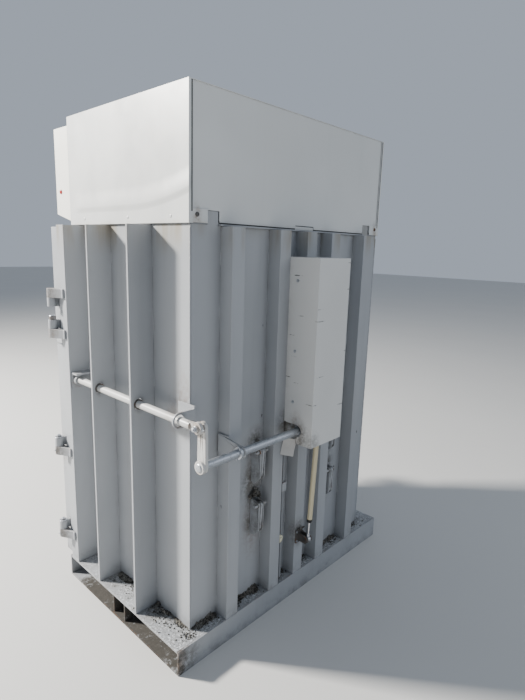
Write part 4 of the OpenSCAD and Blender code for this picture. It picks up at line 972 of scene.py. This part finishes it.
class BALER_OT_spring(bpy.types.Operator):
    """Seal and foot sleeve of the gas spring, and the card tag on the bearing plate"""

    bl_idname = "baler.spring"
    bl_label = "Gas spring trim and tag"

    def execute(self, context):
        foot, head = Vector((0, 0.462, 0.285)), Vector((0, 0.495, 1.090))
        along = (head - foot).normalized()
        form = Form()
        form.turned([(0.0056, -0.005), (0.0084, -0.005), (0.0100, -0.0035), (0.0108, 0.0005),
                     (0.0113, 0.001), (0.0116, 0.004), (0.0116, 0.010), (0.0112, 0.011)],
                    foot + along * 0.088, along, 36)
        form.placed("spring_seal", "spring_tube", "rubber", "dark_steel")
        form = Form()
        form.turned([(0.0, 0.0), (0.0068, 0.0), (0.0074, 0.0006), (0.0074, 0.016), (0.0068, 0.0176),
                     (0.0052, 0.018)], foot + along * 0.010, along, 28)
        form.placed("spring_foot_sleeve", "spring_rod", "zinc", "galvanised")
        # Blank tag on a wire loop, hanging from the inner bearing plate
        tag = Form()
        middle = Vector((0.1225, 0.432, 0.740))
        half_width, half_height = 0.0275, 0.036
        tag.block((-half_width, -0.0005, -half_height), (half_width, 0.0005, half_height))
        bmesh.ops.subdivide_edges(tag.bm, edges=tag.bm.edges, cuts=6, use_grid_fill=True)
        for v in tag.bm.verts:
            v.co.y += 0.0045 * (v.co.z / half_height) ** 2 - 0.0030 * (v.co.x / half_width) ** 2
        hang = Matrix.Translation(middle)
        for degrees, axis in ((-38, "Z"), (-13, "Y"), (7, "X")):
            hang = hang @ Matrix.Rotation(math.radians(degrees), 4, axis)
        bmesh.ops.transform(tag.bm, verts=tag.bm.verts, matrix=hang)
        tag.placed("card_tag", "frame", "card", "nylon", angle=30)
        loop = Form()
        loop.swept([(0.1165, 0.4290, 0.772), (0.1145, 0.4300, 0.790), (0.1160, 0.4335, 0.803),
                    (0.1185, 0.4380, 0.806), (0.1210, 0.4365, 0.800), (0.1205, 0.4330, 0.786),
                    (0.1180, 0.4300, 0.772)], 0.0006, 6)
        loop.placed("tag_wire", "frame", "zinc", "galvanised")
        return {"FINISHED"}


def litter_bank(form, start, end, out, depth, height, seed):
    """A low bank of soil against the foot of a wall, closed underneath."""
    start, end, out = Vector(start), Vector(end), Vector(out)
    run = end - start
    made = bmesh.ops.create_grid(form.bm, x_segments=max(6, int(run.length / 0.0042)), y_segments=13,
                                 size=0.5)["verts"]
    for v in made:
        u, w = v.co.x + 0.5, v.co.y + 0.5
        swell = math.sin(math.pi * min(1.0, max(0.0, u))) ** 0.35
        lie = noise.noise(Vector((u * run.length * 18, seed, 0)))
        reach = depth * swell * (0.72 + 0.5 * lie)
        rise = height * swell * (0.75 + 0.6 * lie) * (1 - w) ** 1.6
        at = start + run * u + out * (reach * w - 0.001)
        bumps = 0.6 * noise.noise(at * 75) + 0.5 * noise.noise(at * 190)
        v.co = at + Z * (max(0.0, rise * (1 + bumps)) - 0.0006)
    faces = list({f for v in made for f in v.link_faces})
    under = bmesh.ops.extrude_face_region(form.bm, geom=faces)["geom"]
    for v in under:
        if isinstance(v, bmesh.types.BMVert):
            v.co.z = start.z - 0.0015
    bmesh.ops.reverse_faces(form.bm, faces=[f for f in under if isinstance(f, bmesh.types.BMFace)])


class BALER_OT_soil(bpy.types.Operator):
    """Dry soil and leaf litter along the foot of the walls, and grime on the claws"""

    bl_idname = "baler.soil"
    bl_label = "Yard soil"

    def execute(self, context):
        rng = random.Random(5)
        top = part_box("base_plate")[1].z
        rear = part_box("wall_rear")[1].y
        banks = Form()
        # Start, end, depth and height of each bank
        rear_banks = ((-0.53, -0.435, 0.030, 0.014), (-0.372, -0.20, 0.036, 0.022),
                      (-0.128, -0.032, 0.034, 0.018), (0.032, 0.128, 0.040, 0.020),
                      (0.20, 0.372, 0.048, 0.030), (0.435, 0.562, 0.034, 0.020))
        hinge_side_banks = ((0.345, 0.20, 0.024, 0.010), (0.165, 0.139, 0.075, 0.022),
                            (0.126, 0.02, 0.060, 0.020), (-0.03, -0.138, 0.05, 0.014))
        lock_side_banks = ((0.34, 0.16, 0.03, 0.012), (0.126, -0.10, 0.04, 0.014))
        for k, (x0, x1, depth, height) in enumerate(rear_banks):
            litter_bank(banks, (x0, rear, top), (x1, rear, top), Y, depth, height, k * 3.1)
        for s, spans in ((1, hinge_side_banks), (-1, lock_side_banks)):
            for k, (y0, y1, depth, height) in enumerate(spans):
                litter_bank(banks, (s * SIDE_X, y0, top), (s * SIDE_X, y1, top), s * X, depth, height,
                            40 + 5 * k + s)
        ground = BVHTree.FromBMesh(banks.bm)
        banks.placed("litter_banks", "frame", "soil", "inner_steel", angle=50)

        crumb, twig, leaf = Form(), Form(), Form()
        crumb.lump((0, 0, 0), (1, 0.8, 0.6), 1, 0.4)
        twig.rod((0, 0, -0.5), (0, 0, 0.5), 0.035, 5, 0.018)
        leaf.lump((0, 0, 0), (1.0, 0.45, 0.07), 1, 0.3)
        crumb, twig, leaf = crumb.kept(), twig.kept(), leaf.kept()
        bits = Form()
        for _ in range(context.scene.baler_sizes.litter):
            if rng.random() < 0.55:
                x, y = rng.uniform(-0.56, 0.60), rear + 0.004 + abs(rng.gauss(0, 0.020))
                if any(abs(x - rib) < 0.036 for rib in RIBS_X):
                    continue
            else:
                side = 1 if rng.random() < 0.75 else -1
                x, y = side * (0.569 + abs(rng.gauss(0, 0.034))), rng.uniform(-0.13, 0.395)
                if abs(y - FINS_Y[1]) < 0.010:
                    continue
            if abs(x) > 0.660 or y > 0.402:
                continue
            hit = ground.ray_cast(Vector((x, y, top + 0.2)), -Z)[0]
            lie = max(top, hit.z if hit else top)
            spin = Matrix.Rotation(rng.random() * math.tau, 4, "Z")
            kind = rng.random()
            if kind < 0.66:
                shape, size, tip = crumb, 0.0011 + 0.0034 * rng.random() ** 3, 0.0
                lie += size * 0.4
            elif kind < 0.86:
                shape, size, tip = twig, rng.uniform(0.004, 0.016), rng.uniform(75, 100)
                lie += 0.0012
            else:
                shape, size, tip = leaf, rng.uniform(0.002, 0.006), rng.uniform(-30, 30)
                lie += 0.0016
            lean = Matrix.Rotation(math.radians(tip), 4, "X")
            bits.stamp(shape, Matrix.Translation((x, y, lie)) @ spin @ lean @ Matrix.Scale(size, 4))
        bits.placed("litter", "frame", "soil", "inner_steel", angle=80)

        grime = Form()
        # Place and size of the clods on the claws and on the foot of the gas spring
        clods = ((0.226, 0.361, 0.548, 0.015), (0.246, 0.366, 0.553, 0.014), (0.262, 0.360, 0.541, 0.010),
                 (0.214, 0.358, 0.532, 0.009), (0.236, 0.359, 0.567, 0.009), (-0.24, 0.360, 0.546, 0.010),
                 (-0.252, 0.358, 0.538, 0.008), (0.230, 0.359, 0.774, 0.008), (0.216, 0.357, 0.762, 0.006),
                 (-0.013, 0.425, 0.322, 0.007), (0.012, 0.420, 0.319, 0.006), (0.0, 0.419, 0.3185, 0.007))
        for x, y, z, r in clods:
            grime.lump((x, y, z), (r, r * 0.62, r * 0.9), 4, 0.75, x * 40)
        for _ in range(46):
            x = rng.choice((CLAW_X, CLAW_X, -CLAW_X)) + rng.gauss(0, 0.016)
            z = rng.choice((0.528, 0.535, 0.545, 0.765)) + abs(rng.gauss(0, 0.009))
            length = rng.uniform(0.008, 0.020)
            tip = Matrix.Rotation(rng.uniform(0.9, 2.1), 4, "Y")
            at = Matrix.Translation((x, rear + 0.004 + 0.010 * rng.random(), z))
            grime.stamp(twig, at @ tip @ Matrix.Scale(length, 4))
        grime.placed("claw_grime", "frame", "soil", "inner_steel", angle=80)
        return {"FINISHED"}


class BALER_OT_gear(bpy.types.Operator):
    """Contactors, terminals, rails, cable glands and side plug of the control box"""

    bl_idname = "baler.gear"
    bl_label = "Control gear"

    def execute(self, context):
        low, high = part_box("control_box")
        left, foot, back = low.x, BOX_FOOT_Z, high.y - 0.002
        first, contactor_pitch, terminal_pitch = 0.052, 0.060, 0.036
        rails = Form()
        for z in (foot + 0.110, foot + 0.240):
            for dz in (-0.0005, 0.030):
                rails.block((left + 0.038, back - 0.0088, z + dz),
                            (high.x - 0.038, back - 0.0002, z + dz + 0.0055), 0.0006)
        rails.placed("mounting_rails", "frame", "zinc", "galvanised")
        gear = Form()
        for k in range(5):
            x = left + first + contactor_pitch * k
            z = foot + 0.095
            gear.block((x - 0.0006, back - 0.0506, z - 0.0006), (x + 0.0466, back - 0.0076, z + 0.0706),
                       0.0016, 3)
            gear.block((x + 0.0045, back - 0.0712, z + 0.0135), (x + 0.0415, back - 0.0490, z + 0.0565),
                       0.0022, 3)
            gear.block((x + 0.0125, back - 0.0735, z + 0.0265), (x + 0.0335, back - 0.0700, z + 0.0435),
                       0.0008, 2)
        gear.placed("contactors", "frame", "grey plastic", "switch_black")
        rows, heads = Form(), Form()
        pan = pan_screw_shape()
        for k in range(8):
            x = left + first + terminal_pitch * k
            z = foot + 0.232
            rows.block((x - 0.0006, back - 0.0340, z - 0.0006), (x + 0.0266, back - 0.0076, z + 0.0536),
                       0.0010, 2)
            rows.block((x + 0.0016, back - 0.0506, z + 0.0105), (x + 0.0244, back - 0.0330, z + 0.0425),
                       0.0016, 2)
            for dx in (0.0065, 0.0195):
                for dz in (0.0055, 0.0475):
                    heads.stamp(pan, looking((x + dx, back - 0.0340, z + dz), -Y, 0.0026))
        for k in range(5):
            x = left + first + contactor_pitch * k
            for j in range(3):
                for dz in (0.0062, 0.0638):
                    heads.stamp(pan, looking((x + 0.0085 + 0.0145 * j, back - 0.0506, foot + 0.095 + dz),
                                             -Y, 0.0034))
        rows.placed("terminal_blocks", "frame", "pale plastic", "nylon")
        heads.placed("terminal_screws", "frame", "valve metal", "valve_metal")
        glands = Form()
        for x in (left + 0.060, left + 0.110):
            y = back + 0.002 - 0.025
            glands.turned([(0.0, -0.0010), (0.0070, -0.0010), (0.0095, 0.0), (0.0125, 0.0030),
                           (0.0140, 0.0085), (0.0140, 0.0120), (0.0112, 0.0126)], (x, y, low.z), Z, 36)
            glands.rod((x, y, low.z + 0.0118), (x, y, low.z + 0.0330), 0.0162, 6, edge=0.0010)
        glands.placed("cable_glands", "frame", "black plastic", "switch_black")
        plug = Form()
        plug.turned([(0.0092, 0.0), (0.0092, 0.0012), (0.0084, 0.0030), (0.0060, 0.0038), (0.0, 0.0040)],
                    (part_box("hood")[1].x, back + 0.002 - 0.078, foot + 0.121), X, 32)
        plug.placed("side_plug", "frame", "red plastic", "button_red")
        return {"FINISHED"}


class BALER_OT_operators(bpy.types.Operator):
    """Push buttons, emergency stop, main switch, lock and lamp of the control box"""

    bl_idname = "baler.operators"
    bl_label = "Control box operators"

    def execute(self, context):
        front = CABINET_FRONT_Y
        for node, finish, slot in (("start_button", "green plastic", "button_green"),
                                   ("stop_button", "red plastic", "button_red")):
            low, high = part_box(node)
            x, z = (low.x + high.x) / 2, (low.z + high.z) / 2
            head = Form()
            head.turned([(0.0, 0.0), (0.0125, 0.0), (0.0133, 0.0012), (0.0133, 0.0052), (0.0115, 0.0072),
                         (0.0, 0.0078)], (x, low.y + 0.008, z), -Y, 40)
            head.rod((x, low.y + 0.008, z), (x, high.y, z), 0.0098, 28)
            head.placed(node + "_head", BODY_OF[node], finish, slot, replaces=(node,))
            ring = Form()
            ring.turned([(0.0138, 0.0), (0.0190, 0.0), (0.0190, 0.0028), (0.0178, 0.0048), (0.0146, 0.0056),
                         (0.0138, 0.0044), (0.0138, 0.0)], (x, front - 0.003, z), -Y, 44)
            ring.placed(node + "_ring", "panel", "pale plastic", "valve_metal")
        low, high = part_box("emergency_stop")
        x, z = (low.x + high.x) / 2, (low.z + high.z) / 2
        stop = Form()
        stop.turned([(0.0, 0.0), (0.0165, 0.0), (0.0192, 0.0016), (0.0200, 0.0050), (0.0196, 0.0086),
                     (0.0168, 0.0122), (0.0110, 0.0138), (0.0, 0.0140)], (x, low.y + 0.014, z), -Y, 48)
        stop.rod((x, low.y + 0.014, z), (x, high.y, z), 0.0099, 28)
        for k in range(12):
            a = math.tau * k / 12
            spot = Vector((x + 0.0192 * math.cos(a), low.y + 0.0085, z + 0.0192 * math.sin(a)))
            stop.lump(spot, (0.0013, 0.0042, 0.0013), 2, 0.0)
        stop.placed("emergency_stop_head", BODY_OF["emergency_stop"], "red plastic", "button_red",
                    replaces=("emergency_stop",))
        plate = Form()
        plate.turned([(0.0108, 0.0), (0.0300, 0.0), (0.0300, 0.0016), (0.0292, 0.0022), (0.0150, 0.0024),
                      (0.0150, 0.0066), (0.0140, 0.0072), (0.0108, 0.0072), (0.0108, 0.0)],
                     (x, front - 0.003, z), -Y, 56)
        plate.placed("emergency_stop_plate", "panel", "yellow plastic", "button_red")
        low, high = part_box("main_switch")
        x, z = (low.x + high.x) / 2, (low.z + high.z) / 2
        plate = Form()
        plate.block((x - 0.032, front - 0.0062, z - 0.032), (x + 0.032, front - 0.003, z + 0.032), 0.0014,
                    3)
        plate.placed("main_switch_plate", "panel", "yellow plastic", "switch_black")
        knob = Form()
        knob.turned([(0.0, 0.0), (0.0215, 0.0), (0.0228, 0.0012), (0.0228, 0.0058), (0.0212, 0.0076),
                     (0.0, 0.0078)], (x, low.y + 0.026, z), -Y, 48)
        knob.block((x - 0.0042, low.y, z - 0.0205), (x + 0.0042, low.y + 0.019, z + 0.0205), 0.0016, 3)
        knob.rod((x, low.y + 0.026, z), (x, high.y, z), 0.0098, 28)
        knob.placed("main_switch_knob", BODY_OF["main_switch"], "red plastic", "switch_black",
                    replaces=("main_switch",))
        trim = Form()
        lock_x, lock_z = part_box("cabinet_door")[1].x - 0.020, BOX_FOOT_Z + 0.200
        trim.turned([(0.0, 0.0), (0.0108, 0.0), (0.0112, 0.0010), (0.0104, 0.0022), (0.0062, 0.0024),
                     (0.0058, 0.0008), (0.0, 0.0006)], (lock_x, front - 0.008, lock_z), -Y, 36)
        trim.block((lock_x - 0.0035, front - 0.0104, lock_z - 0.0012),
                   (lock_x + 0.0035, front - 0.0086, lock_z + 0.0012), 0.0004)
        trim.turned([(0.0, 0.0), (0.0130, 0.0), (0.0130, 0.0030), (0.0112, 0.0044), (0.0104, 0.0044)],
                    (x + 0.09, front - 0.003, z), -Y, 40)
        trim.placed("cabinet_lock", "panel", "valve metal", "valve_metal")
        lamp = Form()
        lamp.turned([(0.0104, 0.0), (0.0104, 0.0050), (0.0092, 0.0082), (0.0060, 0.0100), (0.0, 0.0106)],
                    (x + 0.09, front - 0.003, z), -Y, 36)
        lamp.placed("ready_lamp", "panel", "pale plastic", "nylon")
        return {"FINISHED"}


class BALER_OT_stage(bpy.types.Operator):
    """Pale floor, soft light and the camera of the photograph"""

    bl_idname = "baler.stage"
    bl_label = "Stage"

    def execute(self, context):
        colours = context.scene.baler_colours
        f = Finish("studio floor")
        tone = f.mix(f.noise(0.8, 3), shade(tuple(colours.floor), 0.96), shade(tuple(colours.floor), 1.03))
        f.close(tone, 0.8, f.bump(f.noise(40, 4), 0.1, 0.002))
        bm = bmesh.new()
        bmesh.ops.create_grid(bm, x_segments=2, y_segments=2, size=30.0)
        mesh = bpy.data.meshes.new("studio_floor")
        bm.to_mesh(mesh)
        bm.free()
        mesh.materials.append(f.material)
        floor = bpy.data.objects.new("studio_floor", mesh)
        context.scene.collection.objects.link(floor)

        world = bpy.data.worlds.new("soft sky")
        world.use_nodes = True
        sky = world.node_tree.nodes["Background"]
        sky.inputs["Color"].default_value = (0.75, 0.85, 1.0, 1)
        sky.inputs["Strength"].default_value = 0.49
        context.scene.world = world
        for name, spot, aim, size, power, tint in (
                ("key", (3.95, -4.73, 4.60), (0.2, 0.0, 1.0), 0.75, 1880, (1.0, 0.968, 0.91)),
                ("fill", (-2.5, 5.2, 3.6), (0.0, 0.0, 1.0), 3.6, 62, (0.90, 0.95, 1.0))):
            lamp = bpy.data.lights.new(name, "AREA")
            lamp.shape, lamp.size, lamp.energy, lamp.color = "SQUARE", size, power, tint
            holder = bpy.data.objects.new(name, lamp)
            aim_at = (Vector(aim) - Vector(spot)).to_track_quat("-Z", "Y")
            holder.matrix_world = Matrix.Translation(spot) @ aim_at.to_matrix().to_4x4()
            context.scene.collection.objects.link(holder)

        # The camera as it was fitted to the photograph
        yaw, pitch, roll = (math.radians(a) for a in (46.94, -11.49, 1.72))
        ahead = Vector((-math.sin(yaw) * math.cos(pitch), -math.cos(yaw) * math.cos(pitch),
                        math.sin(pitch)))
        right = ahead.cross(Z).normalized()
        up = right.cross(ahead)
        level, rise = right, up
        right = level * math.cos(roll) + rise * math.sin(roll)
        up = rise * math.cos(roll) - level * math.sin(roll)
        camera = bpy.data.objects.new("camera", bpy.data.cameras.new("camera"))
        camera.data.sensor_fit = "VERTICAL"
        camera.data.sensor_height = 36.0
        camera.data.lens = context.scene.baler_sizes.lens
        camera.data.clip_end = 100
        turn = Matrix((right, up, -ahead)).transposed().to_4x4()
        eye = (1.6056, 1.6564, 1.5288)
        camera.matrix_world = Matrix.Translation(eye) @ turn
        context.scene.collection.objects.link(camera)
        context.scene.camera = camera
        return {"FINISHED"}


class BALER_PT_panel(bpy.types.Panel):
    """Colours, sizes and pieces of the baler"""

    bl_idname = "BALER_PT_panel"
    bl_label = "Baler"
    bl_space_type = "VIEW_3D"
    bl_region_type = "UI"
    bl_category = "Baler"

    def draw(self, context):
        for group in (context.scene.baler_colours, context.scene.baler_sizes):
            box = self.layout.box()
            for name in group.__annotations__:
                box.prop(group, name)
        for operator in OPERATORS:
            self.layout.operator(operator.bl_idname)


OPERATORS = (BALER_OT_finishes, BALER_OT_edges, BALER_OT_screws, BALER_OT_welds, BALER_OT_linkage,
             BALER_OT_spring, BALER_OT_soil, BALER_OT_gear, BALER_OT_operators, BALER_OT_stage)
CLASSES = (BalerColours, BalerSizes, *OPERATORS, BALER_PT_panel)


def register():
    for cls in CLASSES:
        bpy.utils.register_class(cls)
    bpy.types.Scene.baler_colours = PointerProperty(type=BalerColours)
    bpy.types.Scene.baler_sizes = PointerProperty(type=BalerSizes)


def unregister():
    del bpy.types.Scene.baler_sizes
    del bpy.types.Scene.baler_colours
    for cls in reversed(CLASSES):
        bpy.utils.unregister_class(cls)


def main():
    register()
    for operator in OPERATORS:
        family, name = operator.bl_idname.split(".")
        if getattr(getattr(bpy.ops, family), name)() != {"FINISHED"}:
            raise RuntimeError(f"{operator.bl_label} did not finish")


if __name__ == "__main__":
    main()
